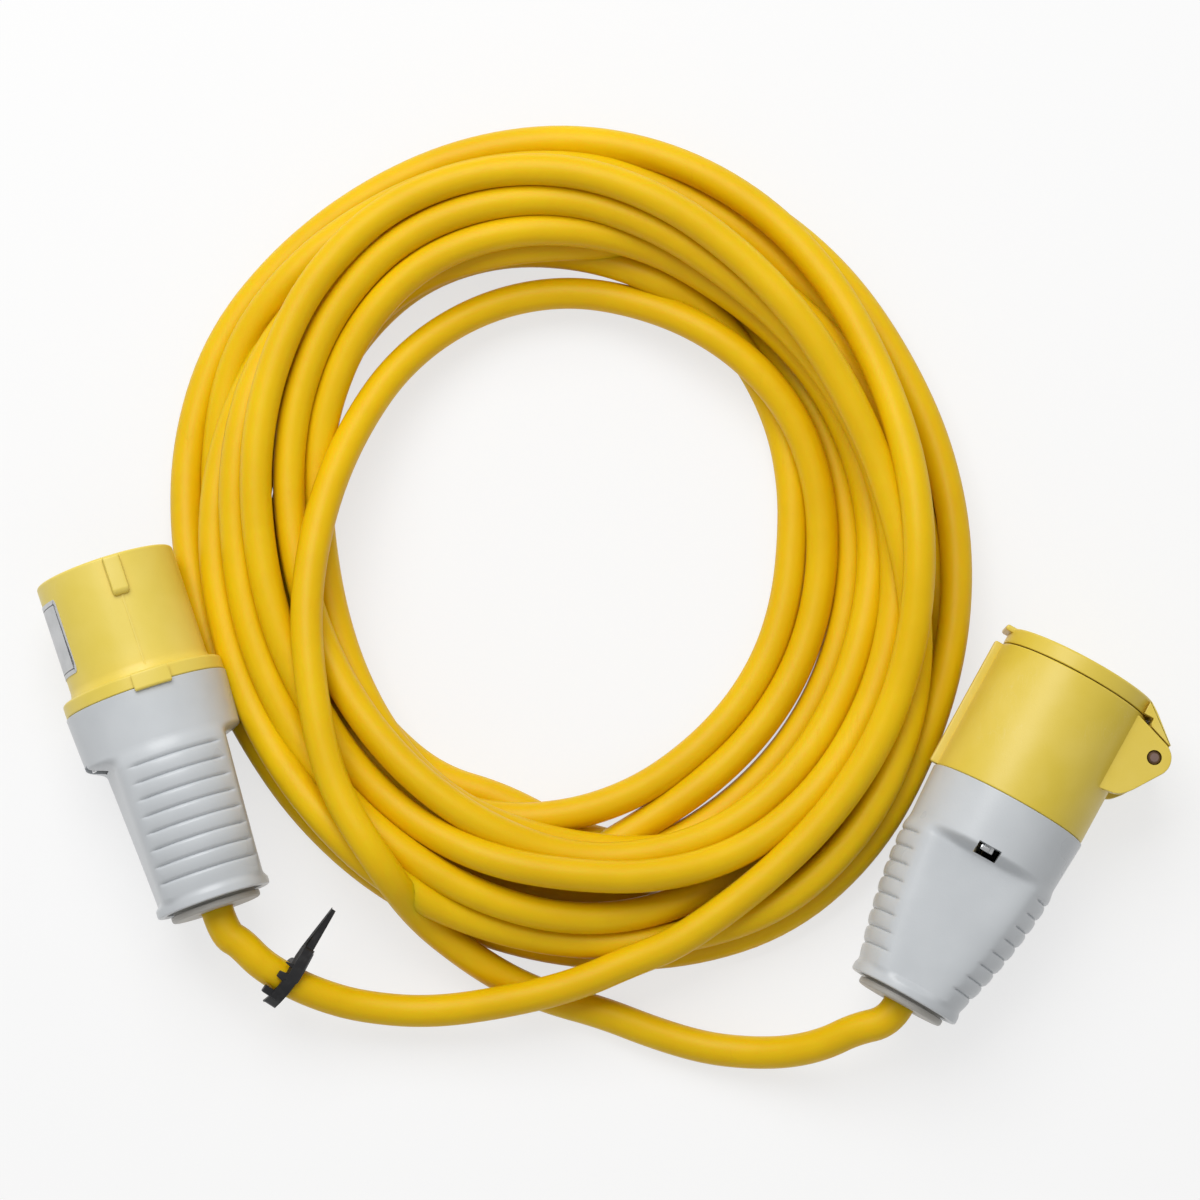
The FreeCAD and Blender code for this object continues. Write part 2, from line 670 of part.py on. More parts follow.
def grip(end, roll):
    """The grey grip: its skin, less the bore, the window and the screw holes, with the clamp's seat."""
    bore = "wall_bore_dia / 2"
    spigot_bore = "spigot_dia / 2 + fit"
    ledge = f"-({SEAL_TOP}) + seam"
    throat = "cord_dia / 2 + 3"
    hollow = [("0", "1"), (spigot_bore, "1"), (spigot_bore, "-spigot_length - 2.6"),
              (bore, "-barrel_length - 1.6"), (bore, "-barrel_end"),
              ("panel_width_low / 2 - 1.8", f"-{CLAMP_MIDDLE} - clamp_length / 2"),
              ("panel_width_low / 2 - 1.8", f"{ledge} + 1.6"), (throat, f"{ledge} + 1.6"),
              (throat, ledge), ("seal_dia / 2 + fit", ledge),
              ("seal_dia / 2 + fit", f"-({COLLAR_TOP}) + seam"),
              ("collar_dia / 2 + fit", f"-({COLLAR_TOP}) + seam"),
              ("collar_dia / 2 + fit", "-grip_length - 1"), ("0", "-grip_length - 1")]
    half_wide, half_long = "clamp_width / 2", "clamp_length / 2"
    seat = box_between((f"-{half_wide}", f"-{CLAMP_MIDDLE} - {half_long}", "-rib_side_low + 0.5"),
                       (half_wide, f"-{CLAMP_MIDDLE} + {half_long}", "-clamp_low"))
    sheath = Part.makeCylinder(size("cord_dia / 2 + fit"), size("grip_length"), V(), V(0, -1, 0))
    holes = [Part.makeCylinder(size("clamp_screw_dia / 2 + seam"), size("clamp_screw_deep + 1"),
                               V(side * size("clamp_screw_apart / 2"), -size(CLAMP_MIDDLE), 0), V(0, 0, -1))
             for side in (-1, 1)]
    window = box_between(("-grip_dia", "-window_drop - window_tall / 2", "-window_wide / 2"),
                         ("-wall_bore_dia / 2 + 1", "-window_drop + window_tall / 2", "window_wide / 2"))
    clip_room = box_between(("-spigot_dia / 2 - fit", "-window_drop - window_tall / 2",
                             "-window_wide / 2"),
                            ("-wall_bore_dia / 2 + 1", "-spigot_length", "window_wide / 2"))
    skin = grip_skin()
    seat = seat.common(skin)
    shape = skin.cut(revolved(hollow)).fuse(seat)
    shape = shape.cut([sheath, window, clip_room] + holes).removeSplitter()
    piece = doc.addObject("Part::Feature", end + "_grip_shape")
    piece.Shape = shape
    keep(end + "_grip", piece, end_place(end, roll))


def release_clip(end, roll):
    """The sprung steel clip: a leaf behind the spigot's end and a nose in the window."""
    body = new_body(end + "_clip")
    out = "spigot_dia / 2 - 2 * running_gap"
    nose = "spigot_dia / 2 + nose_reach"
    top = "-spigot_length - running_gap"
    nose_low = "-window_drop - window_tall / 2 + running_gap"
    nose_high = "-window_drop + window_tall / 2 - running_gap"
    shape = [(f"-({out})", top), (f"-({out}) + clip_thick", top), (f"-({out}) + clip_thick", nose_low),
             (f"-({nose})", nose_low), (f"-({nose})", nose_high), (f"-({out})", nose_high)]
    added(body, end + "_clip_leaf", "XY_Plane", shape, "window_wide - 4 * running_gap")
    keep(end + "_release_clip", body, end_place(end, roll))


def cord_clamp(end, roll):
    """The saddle that holds the cord, and its two screws."""
    body = new_body(end + "_clamp")
    low, high = f"-{CLAMP_MIDDLE} - clamp_length / 2", f"-{CLAMP_MIDDLE} + clamp_length / 2"
    block = [(low, "clamp_low"), (low, "clamp_top"), (high, "clamp_top"), (high, "clamp_low")]
    added(body, end + "_clamp_block", "YZ_Plane", block, "clamp_width")
    cut(body, end + "_cord_groove", "XZ_Plane",
        lambda sketch: circle(sketch, "0", "0", "cord_dia + 2 * fit"), "4 * grip_length")

    def holes(sketch):
        for side in ("", "-"):
            circle(sketch, f"{side}clamp_screw_apart / 2", f"-{CLAMP_MIDDLE}", "clamp_screw_dia + 2 * fit")
    cut(body, end + "_clamp_holes", "XY_Plane", holes, "4 * clamp_top")
    keep(end + "_cord_clamp", body, end_place(end, roll))
    solids = []
    for side, name in ((-1, "a"), (1, "b")):
        one = screw(f"{end}_clamp_screw_{name}", "clamp_screw_dia", "-clamp_screw_deep", "clamp_top + seam",
                    "clamp_head_dia", "clamp_head_tall")
        one.Placement = FreeCAD.Placement(V(side * size("clamp_screw_apart") / 2, -size(CLAMP_MIDDLE), 0),
                                          FreeCAD.Rotation())
        solids.append(one)
    group(end + "_clamp_screws", solids, end_place(end, roll))


def gland(end, roll):
    """The rubber seal and the collar behind it, with the sheath that ends inside the grip."""
    place = end_place(end, roll)
    cord_hole = "cord_dia / 2 + seam"
    seal = [(cord_hole, f"-({COLLAR_TOP}) + seam"), ("seal_dia / 2", f"-({COLLAR_TOP}) + seam"),
            ("seal_dia / 2", f"-({SEAL_TOP})"), (cord_hole, f"-({SEAL_TOP})")]
    keep(end + "_gland_seal", turned(end + "_seal", seal), place)
    face = "-grip_length - collar_proud"
    collar = [("collar_bore / 2", face), ("collar_dia / 2 - 0.6", face), ("collar_dia / 2", f"{face} + 0.6"),
              ("collar_dia / 2", f"-({COLLAR_TOP})"), ("collar_bore / 2", f"-({COLLAR_TOP})")]
    keep(end + "_end_collar", turned(end + "_collar", collar), place)
    inside = f"-{SHEATH_TOP}"
    sheath = [("0", face), ("cord_dia / 2", face), ("cord_dia / 2", inside), ("0", inside)]
    keep(end + "_sheath_end", turned(end + "_sheath", sheath), place)


def route_edges(points):
    """Straight runs joined by arcs as large as the runs allow, with the arcs' radii."""
    edges, radii = [], []
    last = points[0]
    for before, here, after in zip(points, points[1:], points[2:]):
        back, ahead = before - here, after - here
        reach = 0.45 * min(back.Length, ahead.Length)
        back.normalize()
        ahead.normalize()
        half_turn = (math.pi - back.getAngle(ahead)) / 2
        radius = reach / math.tan(half_turn)
        start, finish = here + back * reach, here + ahead * reach
        inward = (back + ahead).normalize()
        top = here + inward * (radius / math.cos(half_turn) - radius)
        edges += [Part.LineSegment(last, start).toShape(), Part.Arc(start, top, finish).toShape()]
        radii.append(radius)
        last = finish
    edges.append(Part.LineSegment(last, points[-1]).toShape())
    return edges, radii


def tube(name, points, diameter):
    """A round tube along a route, checked against its section times its length."""
    edges, radii = route_edges(points)
    path = Part.Wire(edges)
    ring = Part.Wire([Part.Circle(points[0], points[1] - points[0], diameter / 2).toShape()])
    solid = path.makePipeShell([ring], True, False)
    share = solid.Volume / (math.pi * diameter ** 2 / 4 * path.Length)
    if abs(share - 1) > 0.001:
        raise RuntimeError(f"{name}: the tube's volume is {share} of its section times its length")
    print(name, "length", round(path.Length, 1), "mm, radii", [round(each, 1) for each in radii])
    piece = doc.addObject("Part::Feature", name + "_shape")
    piece.Shape = solid
    return piece


def cores(end, side):
    """The three cores from the end of the sheath to the terminals."""
    colours = {"earth": "green_yellow_core", "line_a": "brown_core", "line_b": "blue_core"}
    inner, outer = size("core_offset"), size("pin_circle / 2")
    top, barrel = size(SHEATH_TOP), size("barrel_end")
    for name, bearing, _ in contact_spots(side):
        away = V(math.sin(math.radians(bearing)), 0, math.cos(math.radians(bearing)))
        points = [away * inner - V(0, top, 0), away * inner - V(0, top - size("core_straight"), 0),
                  away * outer - V(0, barrel + size("core_bend"), 0),
                  away * outer - V(0, barrel - size("wire_bore_deep - core_offset / 4"), 0)]
        core = tube(f"{end}_{name}_core", points, size("wire_dia"))
        keep(f"{end}_{colours[name]}", core, end_place(end, size(end + "_roll")))


def coil_station(along):
    """Point and heading on the coil, along radians past its start: in on the floor, up a layer in a
    half turn, and out again on top."""
    rate = size("coil_pitch") / (2 * math.pi)
    turn_in = size("coil_turns_in") * 2 * math.pi
    least = size("coil_out") - rate * turn_in
    low, layer = size("coil_low"), size("coil_layer")
    if along <= turn_in:
        radius, drift, height, climb = size("coil_out") - rate * along, -rate, low, 0.0
    elif along < turn_in + math.pi:
        share = (along - turn_in) / math.pi
        radius = least - rate * math.pi * share * (1 - share)
        drift = rate * (2 * share - 1)
        height = low + layer * share ** 2 * (3 - 2 * share)
        climb = layer * 6 * share * (1 - share) / math.pi
    else:
        radius, drift = least + rate * (along - turn_in - math.pi), rate
        height, climb = low + layer, 0.0
    bearing = math.radians(size("coil_start")) + along
    out, on = V(math.cos(bearing), math.sin(bearing), 0), V(-math.sin(bearing), math.cos(bearing), 0)
    middle = V(size("coil_x"), size("coil_y"), height)
    return middle + out * radius, (out * drift + on * radius + V(0, 0, climb)).normalize()


def coil_stations():
    whole = (size("coil_turns_in") + 0.5 + size("coil_turns_out")) * 2 * math.pi
    quarters = round(whole / (math.pi / 2))
    return [coil_station(whole * index / quarters) for index in range(quarters + 1)]


def cord_coil(stations):
    diameter = size("cord_dia")
    solid, path = wound(stations, diameter, diameter)
    share = solid.Volume / (math.pi * diameter ** 2 / 4 * path.Length)
    print("coil: length", round(path.Length, 1), "mm, volume share", round(share, 5), "least gap",
          round(least_gap(path, diameter, math.pi * size("coil_out") / 2), 2), "mm")
    coil = doc.addObject("Part::Feature", "coil_shape")
    coil.Shape = solid
    keep("cord_coil", coil)


def on_coil(bearing, radius, height):
    """A point by its bearing and radius from the middle of the coil."""
    angle = math.radians(bearing)
    return V(size("coil_x") + radius * math.cos(angle), size("coil_y") + radius * math.sin(angle), height)


def exit_points(end, reaches):
    """Points straight out of an end's collar."""
    face = -size("grip_length + collar_proud")
    return [end_place(end).multVec(V(0, face - reach, 0)) for reach in reaches]


# The plug's lead: down to the floor, over the connector's lead, up on the coil and down beside it
PLUG_LEAD = [V(-109.3, -54.6, 24.9), V(-101.8, -59.6, 22.3), V(-87.3, -64.9, 17.0),
             V(-68.1, -69.8, 12.4), V(-46.8, -71.8, 12.0), V(-26.8, -70.0, 16.6), V(-7.8, -63.8, 18.2),
             V(10.7, -55.6, 18.2)]
PLUG_LEAD_ON_COIL = [(286, 125.5, 20.0), (299, 122.0, 24.0), (312, 118.0, 26.4), (327, 113.8, 26.6),
                     (343, 110.8, 26.6), (359, 109.4, 26.6), (15, 110.0, 26.6), (30, 113.8, 26.6),
                     (44, 119.0, 26.0), (56, 124.0, 22.0), (68, 126.6, 14.5), (80, 127.0, 8.2),
                     (92, 126.6, 5.2)]
# The connector's lead: from the coil's end in over the top, round inside, out over the coil and down
CONNECTOR_LEAD_ON_COIL = [(289, 113.6, 20.6), (303, 106.5, 26.4), (320, 100.0, 26.8), (340, 95.0, 26.8),
                          (2, 90.5, 26.8), (26, 86.0, 26.8), (50, 83.0, 26.8), (75, 82.0, 26.8),
                          (100, 81.5, 26.8), (125, 82.0, 26.8), (150, 82.5, 26.8), (173, 84.0, 26.8),
                          (193, 88.0, 26.8), (210, 95.5, 26.8), (224, 105.0, 26.8), (236, 115.0, 24.6)]
CONNECTOR_LEAD = [V(-55.6, -41.6, 18.0), V(-42.3, -52.4, 12.0), V(-29.8, -60.6, 7.4),
                  V(-16.3, -66.6, 5.3), V(0.2, -71.4, 5.1), V(17.2, -76.4, 5.1), V(34.2, -80.6, 5.1),
                  V(50.2, -83.4, 8.0), V(61.7, -84.6, 13.1), V(72.2, -83.6, 19.2), V(80.7, -80.6, 23.6)]


def leads(stations):
    diameter = size("cord_dia")
    (first, heading), (last, leaving) = stations[0], stations[-1]
    start, finish = first - heading * diameter, last + leaving * diameter
    plug = (exit_points("plug", (0, 10)) + PLUG_LEAD + [on_coil(*each) for each in PLUG_LEAD_ON_COIL]
            + [start - heading * 22, start])
    keep("cord_plug_lead", tube("plug_lead", plug, diameter))
    connector = ([finish, finish + leaving * 14] + [on_coil(*each) for each in CONNECTOR_LEAD_ON_COIL]
                 + CONNECTOR_LEAD + exit_points("connector", (9, 0)))
    keep("cord_connector_lead", tube("connector_lead", connector, diameter))
    return plug


def cable_tie(at, heading):
    """The black rubber strap round the plug's lead: a ring, a barbed head and a tapered tail."""
    inner = size("cord_dia") / 2 + size("running_gap")
    outer = inner + size("strap_thick")
    half = size("strap_width") / 2
    ring = Part.makeCylinder(outer, 2 * half, V(0, -half, 0), V(0, 1, 0))
    bore = Part.makeCylinder(inner, 8 * half, V(0, -4 * half, 0), V(0, 1, 0))
    thick, tail, tip = size("strap_thick"), size("tail_length"), size("tail_end_width") / 2
    low = inner - thick * 1.5
    strip = Part.makePolygon([V(0, -half, low), V(tail, -tip, low), V(tail, tip, low), V(0, half, low),
                              V(0, -half, low)])
    tongue = Part.Face(strip).extrude(V(0, 0, thick))
    reach = size("head_reach")
    head = Part.makeBox(reach - inner, 2 * half, 2 * thick, V(-reach, -half, -thick))
    barb = size("barb_size")
    barbs = [Part.makeBox(barb, barb * 0.8, thick,
                          V(-reach + step * barb * 1.5, -half - barb * 0.8, -thick / 2))
             for step in range(2)]
    shape = ring.fuse([tongue, head] + barbs).cut(bore).removeSplitter()
    piece = doc.addObject("Part::Feature", "tie_shape")
    piece.Shape = shape
    turn = FreeCAD.Rotation(V(-heading.y, heading.x, 0), -heading, V(0, 0, 1), "YXZ")
    keep("cable_tie", piece, FreeCAD.Placement(at, turn))


GRIP_ROLLS = {"plug": size("plug_roll"), "connector": 90.0}

plug_shroud()
carriers()
plug_pins()
connector_body()
connector_lid()
hinge_pin()
lid_spring()
connector_sleeves()
for end, side in (("plug", -1), ("connector", 1)):
    grip_roll = GRIP_ROLLS[end]
    terminal_screws(end, side)
    grip(end, grip_roll)
    release_clip(end, grip_roll)
    cord_clamp(end, grip_roll)
    gland(end, grip_roll)
    cores(end, side)
stations = coil_stations()
cord_coil(stations)
plug_points = leads(stations)
tie_run = plug_points[4] - plug_points[3]
cable_tie((plug_points[3] + plug_points[4]) * 0.5, tie_run.normalize())
doc.recompute()

for thing in doc.Objects:
    if {"Invalid", "Error"} & set(thing.State):
        raise RuntimeError(f"{thing.Label}: {thing.State}")
for node, thing in nodes.items():
    if thing.Shape.isNull() or not thing.Shape.isValid() or not thing.Shape.Solids:
        raise RuntimeError(f"{node}: the shape is not a valid solid")

os.makedirs("parts", exist_ok=True)
for node, thing in nodes.items():
    thing.Shape.exportStep(f"parts/{node}.step")
print(len(nodes), "nodes")
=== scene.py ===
import math
import bmesh
import bpy
from mathutils import Matrix, Vector


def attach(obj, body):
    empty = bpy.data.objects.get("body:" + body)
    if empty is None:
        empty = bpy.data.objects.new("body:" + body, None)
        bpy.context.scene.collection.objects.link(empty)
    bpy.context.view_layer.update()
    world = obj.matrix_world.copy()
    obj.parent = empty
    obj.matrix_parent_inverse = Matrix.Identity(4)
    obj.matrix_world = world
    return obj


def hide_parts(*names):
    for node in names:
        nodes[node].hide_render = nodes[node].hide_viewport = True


# An extension lead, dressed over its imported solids: a yellow cord in a loose coil, with a
# plug and a lidded connector on its ends. Lengths are metres in the frame of the solids.

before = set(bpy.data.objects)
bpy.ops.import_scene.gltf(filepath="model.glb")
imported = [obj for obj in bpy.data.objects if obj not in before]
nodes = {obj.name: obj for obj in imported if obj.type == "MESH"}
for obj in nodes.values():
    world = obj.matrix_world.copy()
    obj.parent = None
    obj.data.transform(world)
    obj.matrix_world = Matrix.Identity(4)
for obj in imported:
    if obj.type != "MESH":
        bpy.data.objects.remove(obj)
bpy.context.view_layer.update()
scene = bpy.context.scene

# The cord's diameter, and how high both ends' axes lie
CORD = 0.010
AXIS_HEIGHT = 0.0256

# The camera: its tilt, what it looks at, how far away it is and how wide its picture is there
TILT = math.radians(6.5)
TARGET = Vector((0.00006, 0.05682, AXIS_HEIGHT))
EYE_DISTANCE = 1.2
PICTURE_WIDTH = 0.3704
EYE_BACK = EYE_DISTANCE * math.sin(TILT)
EYE_UP = EYE_DISTANCE * math.cos(TILT)


def end_frame(x, y, turn):
    """Where a piece made along its own Y axis lies: its mouth end points along +Y."""
    return Matrix.Translation((x, y, AXIS_HEIGHT)) @ Matrix.Rotation(math.radians(turn), 4, "Z")


PLUG = end_frame(-0.13964, 0.02732, 18.9)
CONNECTOR = end_frame(0.12516, -0.00648, -29.2)
COLLAR_FACE = -0.0697

# The cord's turns as the photograph shows them. The first row of a turn is its distance from the
# coil's middle at bearings 90, 120, 150 ... 60 degrees, in TABLE_STEPS to a metre at the height
# of the ends' axes. The second row says how near the top of the pile it lies there, up to 100.
# The cord comes over the pile from bearing 270, and leaves it past bearing 240.
TABLE_STEPS = 3240
OVER_THE_PILE = ([430, 383, 361, 346, 352, 385],
                 [95, 95, 95, 95, 95, 90])
TURNS = [
    ([403, 402, 401, 383, 369, 384, 403, 430, 402, 383, 372, 378],
     [40, 40, 30, 40, 60, 70, 22, 60, 60, 36, 30, 30]),
    ([392, 380, 363, 358, 355, 378, 392, 415, 384, 331, 313, 334],
     [10, 12, 70, 70, 70, 80, 30, 70, 65, 70, 70, 70]),
    ([374, 384, 347, 311, 305, 317, 327, 350, 338, 322, 308, 312],
     [90, 90, 90, 90, 90, 50, 70, 55, 50, 50, 44, 46]),
    ([345, 351, 313, 276, 267, 281, 312, 322, 308, 302, 297, 298],
     [60, 60, 55, 60, 50, 47, 60, 50, 45, 40, 40, 42]),
    ([317, 318, 283, 250, 253, 280, 299, 332, 328, 318, 320, 335],
     [50, 50, 50, 40, 40, 44, 52, 30, 30, 30, 25, 20]),
    ([355, 362, 360, 334, 333, 349, 374, 370, 360, 348, 336, 356],
     [15, 15, 75, 80, 80, 65, 80, 20, 20, 20, 15, 40]),
    ([381, 386, 383, 350, 345, 345, 352, 398, 400, 354, 330, 318],
     [80, 80, 60, 45, 10, 20, 36, 28, 25, 35, 30, 26]),
    ([300, 309, 297, 270, 264, 268, 284, 298, 284, 272, 268, 276],
     [38, 40, 34, 20, 26, 36, 12, 8, 8, 10, 15, 15]),
    ([330, 348, 326, 304, 294, 291, 269, 240, 225, 219, 240, 268],
     [12, 11, 10, 10, 30, 40, 50, 40, 38, 36, 36, 33]),
    ([292, 307, 289, 278, 296, 304, 300, 270, 255, 250, 256, 254],
     [32, 35, 30, 10, 8, 30, 20, 60, 42, 44, 50, 50]),
]
OUT_AGAIN = ([259, 254, 245, 258, 298, 373],
             [10, 20, 60, 95, 99, 99])
# The coil's middle on the floor, and where the photograph shows it, from the target
COIL_MIDDLE = Vector((-0.0088, 0.0750, 0.0))
MIDDLE_ACROSS, MIDDLE_UP = -0.0087, 0.0168
# Points to a turn, and how many of them the first row's start lies past bearing 90
PER_TURN = 24
FIRST = 12
# The cord's middle line where it lies on the floor
FLOOR_LIE = 0.0051
# A stretch ranked below the first is partly hidden, and one ranked this much lower wholly so
HIDDEN_BELOW, HIDDEN_BLEND = 35, 15
# The settling: its rounds, the pressings in each, and how far a stretch sinks in a round
ROUNDS, PRESSINGS, SINK = 120, 4, 0.0003
# In each round, how far a stretch follows its neighbours up and down, and sideways if hidden
EVEN_HIGH, EVEN_FAR = 0.2, 0.15
# How far it goes back to its place in the photograph, and how much less if hidden
BACK, BACK_LESS = 0.5, 0.46
# In each pressing, how much of an overlap the upper and the lower stretch clear: where the upper
# one still has to be lifted over, and where they part along the line between them
LIFT_UPPER, LIFT_LOWER = 0.5, 0.3
PUSH_UPPER, PUSH_LOWER = 0.6, 0.4
# How far a stretch that the photograph shows gives way sideways, and the gap that is left
HELD, GAP = 0.1, 0.0001
# How much wider than its place in the table a stretch starts, and how much wider its points lie
# than the line through them, which cuts their corners
START_WIDER, CORNER_CUT = 1.009, 1.0086


def halfway(values):
    """The values with one more between each two, on a smooth line through them."""
    padded = [values[0]] + values + [values[-1]]
    finer = []
    for a, b, c, d in zip(padded, padded[1:], padded[2:], padded[3:]):
        finer += [b, (9 * (b + c) - a - d) / 16]
    return finer + [values[-1]]


def loose(rank):
    """How freely a hidden stretch finds its own place, from 0 to 1."""
    return max(0.0, min(1.0, (HIDDEN_BELOW - rank) / HIDDEN_BLEND))


def seen_at(distance, bearing, height):
    """Where something at this height lies, from the coil's middle, as the photograph shows it."""
    across = distance * math.cos(bearing) + MIDDLE_ACROSS
    up = distance * math.sin(bearing) + MIDDLE_UP
    fall = (EYE_UP + AXIS_HEIGHT - height) / (EYE_UP - up * math.sin(TILT))
    along = up * math.cos(TILT) * fall + EYE_BACK * (fall - 1)
    return TARGET + Vector((across * fall, along, -AXIS_HEIGHT)) - COIL_MIDDLE


def press_apart(lower, upper, far, high, rank):
    """Parts two stretches of cord that lie in each other, the upper one more than the lower."""
    gap = CORD + GAP
    across, up = far[upper] - far[lower], high[upper] - high[lower]
    apart = math.hypot(across, up)
    if abs(across) >= gap or (apart >= gap and up > 0):
        return
    if up <= 0.25 * abs(across):
        need = math.sqrt(gap ** 2 - across ** 2) - up
        high[upper] += LIFT_UPPER * need
        high[lower] -= LIFT_LOWER * need
    else:
        push = (gap - apart) / apart
        far[upper] += push * across * (HELD + loose(rank[upper]))
        far[lower] -= push * across * (HELD + loose(rank[lower]))
        high[upper] += PUSH_UPPER * push * up
        high[lower] -= PUSH_LOWER * push * up


def settled_coil():
    """The coil's points, each turn on those under it, with the hidden ones pressed aside."""
    rows = [OVER_THE_PILE] + TURNS + [OUT_AGAIN]
    seen = [each / TABLE_STEPS for each in halfway([one for row in rows for one in row[0]])]
    rank = halfway([one for row in rows for one in row[1]])
    count = len(seen)
    bearings = [math.radians(90 + 360 / PER_TURN * (FIRST + index)) for index in range(count)]
    columns = [sorted(range(start, count, PER_TURN), key=lambda index: rank[index])
               for start in range(PER_TURN)]
    far, high = [START_WIDER * each for each in seen], [FLOOR_LIE] * count
    for column in columns:
        for place, index in enumerate(column):
            for under in column[:place]:
                side = abs(far[index] - far[under])
                if side < CORD:
                    high[index] = max(high[index], high[under] + math.sqrt(CORD ** 2 - side ** 2))
    for _ in range(ROUNDS):
        before = list(zip(far, high))
        for index in range(1, count - 1):
            (far_back, high_back), (_, here), (far_on, high_on) = before[index - 1:index + 2]
            high[index] = (1 - 2 * EVEN_HIGH) * here + EVEN_HIGH * (high_back + high_on) - SINK
            give = loose(rank[index])
            there = seen_at(seen[index], bearings[index], here).length
            far[index] += (there - far[index]) * (BACK - BACK_LESS * give)
            far[index] += EVEN_FAR * give * ((far_back + far_on) / 2 - before[index][0])
        for _ in range(PRESSINGS):
            for column in columns:
                for place, upper in enumerate(column):
                    for lower in column[:place]:
                        press_apart(lower, upper, far, high, rank)
                for index in column:
                    high[index] = max(high[index], FLOOR_LIE)
    points = []
    for index in range(1, count):
        toward = seen_at(seen[index], bearings[index], high[index]).normalized()
        points.append(COIL_MIDDLE + toward * far[index] * CORNER_CUT + Vector((0, 0, high[index])))
    return points


def placed(name, data):
    """A new object of this data, in the scene."""
    made = bpy.data.objects.new(name, data)
    scene.collection.objects.link(made)
    return made


def through(name, points, thickness):
    """The mesh of one smooth line with these control points, a round tube if it has thickness."""
    data = bpy.data.curves.new(name, "CURVE")
    data.dimensions = "3D"
    data.resolution_u = 8
    data.bevel_depth = thickness / 2
    data.bevel_resolution = 5
    data.use_fill_caps = True
    line = data.splines.new("NURBS")
    line.points.add(len(points) - 1)
    for spot, place in zip(line.points, points):
        spot.co = (*place, 1.0)
    line.order_u = 3
    line.use_endpoint_u = True
    guide = placed(name, data)
    seen = guide.evaluated_get(bpy.context.evaluated_depsgraph_get())
    mesh = bpy.data.meshes.new_from_object(seen)
    bpy.data.objects.remove(guide)
    bpy.data.curves.remove(data)
    mesh.name = name
    return mesh


# The plug's lead, which runs over the other lead and up on the coil, the connector's lead, which
# comes down from the coil to the floor and up to its end, and how far each starts out straight
PLUG_LEAD = [(-0.1099, -0.0485, 0.0253), (-0.1039, -0.0548, 0.0240), (-0.0965, -0.0595, 0.0212),
             (-0.0868, -0.0641, 0.0174), (-0.0735, -0.0680, 0.0132), (-0.0528, -0.0698, 0.0118),
             (-0.0296, -0.0667, 0.0160), (-0.0078, -0.0616, 0.0190), (0.0106, -0.0536, 0.0210)]
CONNECTOR_LEAD = [(-0.0554, -0.0405, 0.0180), (-0.0423, -0.0510, 0.0120),
                  (-0.0299, -0.0590, 0.0074), (-0.0164, -0.0650, 0.0053),
                  (0.0007, -0.0696, 0.0051), (0.0171, -0.0760, 0.0051),
                  (0.0326, -0.0806, 0.0056), (0.0464, -0.0821, 0.0082),
                  (0.0586, -0.0818, 0.0128), (0.0691, -0.0793, 0.0180),
                  (0.0780, -0.0748, 0.0224)]
PLUG_STRAIGHT, CONNECTOR_STRAIGHT = 0.008, 0.006
plug_exit = PLUG @ Vector((0, COLLAR_FACE, 0))
route = [plug_exit, PLUG @ Vector((0, COLLAR_FACE - PLUG_STRAIGHT, 0))]
route += [Vector(each) for each in PLUG_LEAD]
route += settled_coil()
route += [Vector(each) for each in CONNECTOR_LEAD]
route += [CONNECTOR @ Vector((0, COLLAR_FACE - CONNECTOR_STRAIGHT, 0)),
          CONNECTOR @ Vector((0, COLLAR_FACE, 0))]
cord = placed("long_cord", through("long_cord", route, CORD))
cord.data.polygons.foreach_set("use_smooth", [True] * len(cord.data.polygons))
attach(cord, "lead")
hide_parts("cord_coil", "cord_plug_lead", "cord_connector_lead")

camera = placed("camera", bpy.data.cameras.new("camera"))
camera.location = TARGET + Vector((0, -EYE_BACK, EYE_UP))
camera.rotation_euler = (TILT, 0, 0)
camera.data.sensor_width = 36
camera.data.lens = camera.data.sensor_width * EYE_DISTANCE / PICTURE_WIDTH
scene.camera = camera


class Wire:
    """A value in a material's nodes, so that shader maths is written as plain sums."""

    def __init__(self, look, socket):
        self.look = look
        self.socket = socket

    def __add__(self, other):
        return self.look.maths("ADD", self, other)

    def __sub__(self, other):
        return self.look.maths("SUBTRACT", self, other)

    def __rsub__(self, other):
        return self.look.maths("SUBTRACT", other, self)

    def __mul__(self, other):
        return self.look.maths("MULTIPLY", self, other)

    __radd__ = __add__
    __rmul__ = __mul__


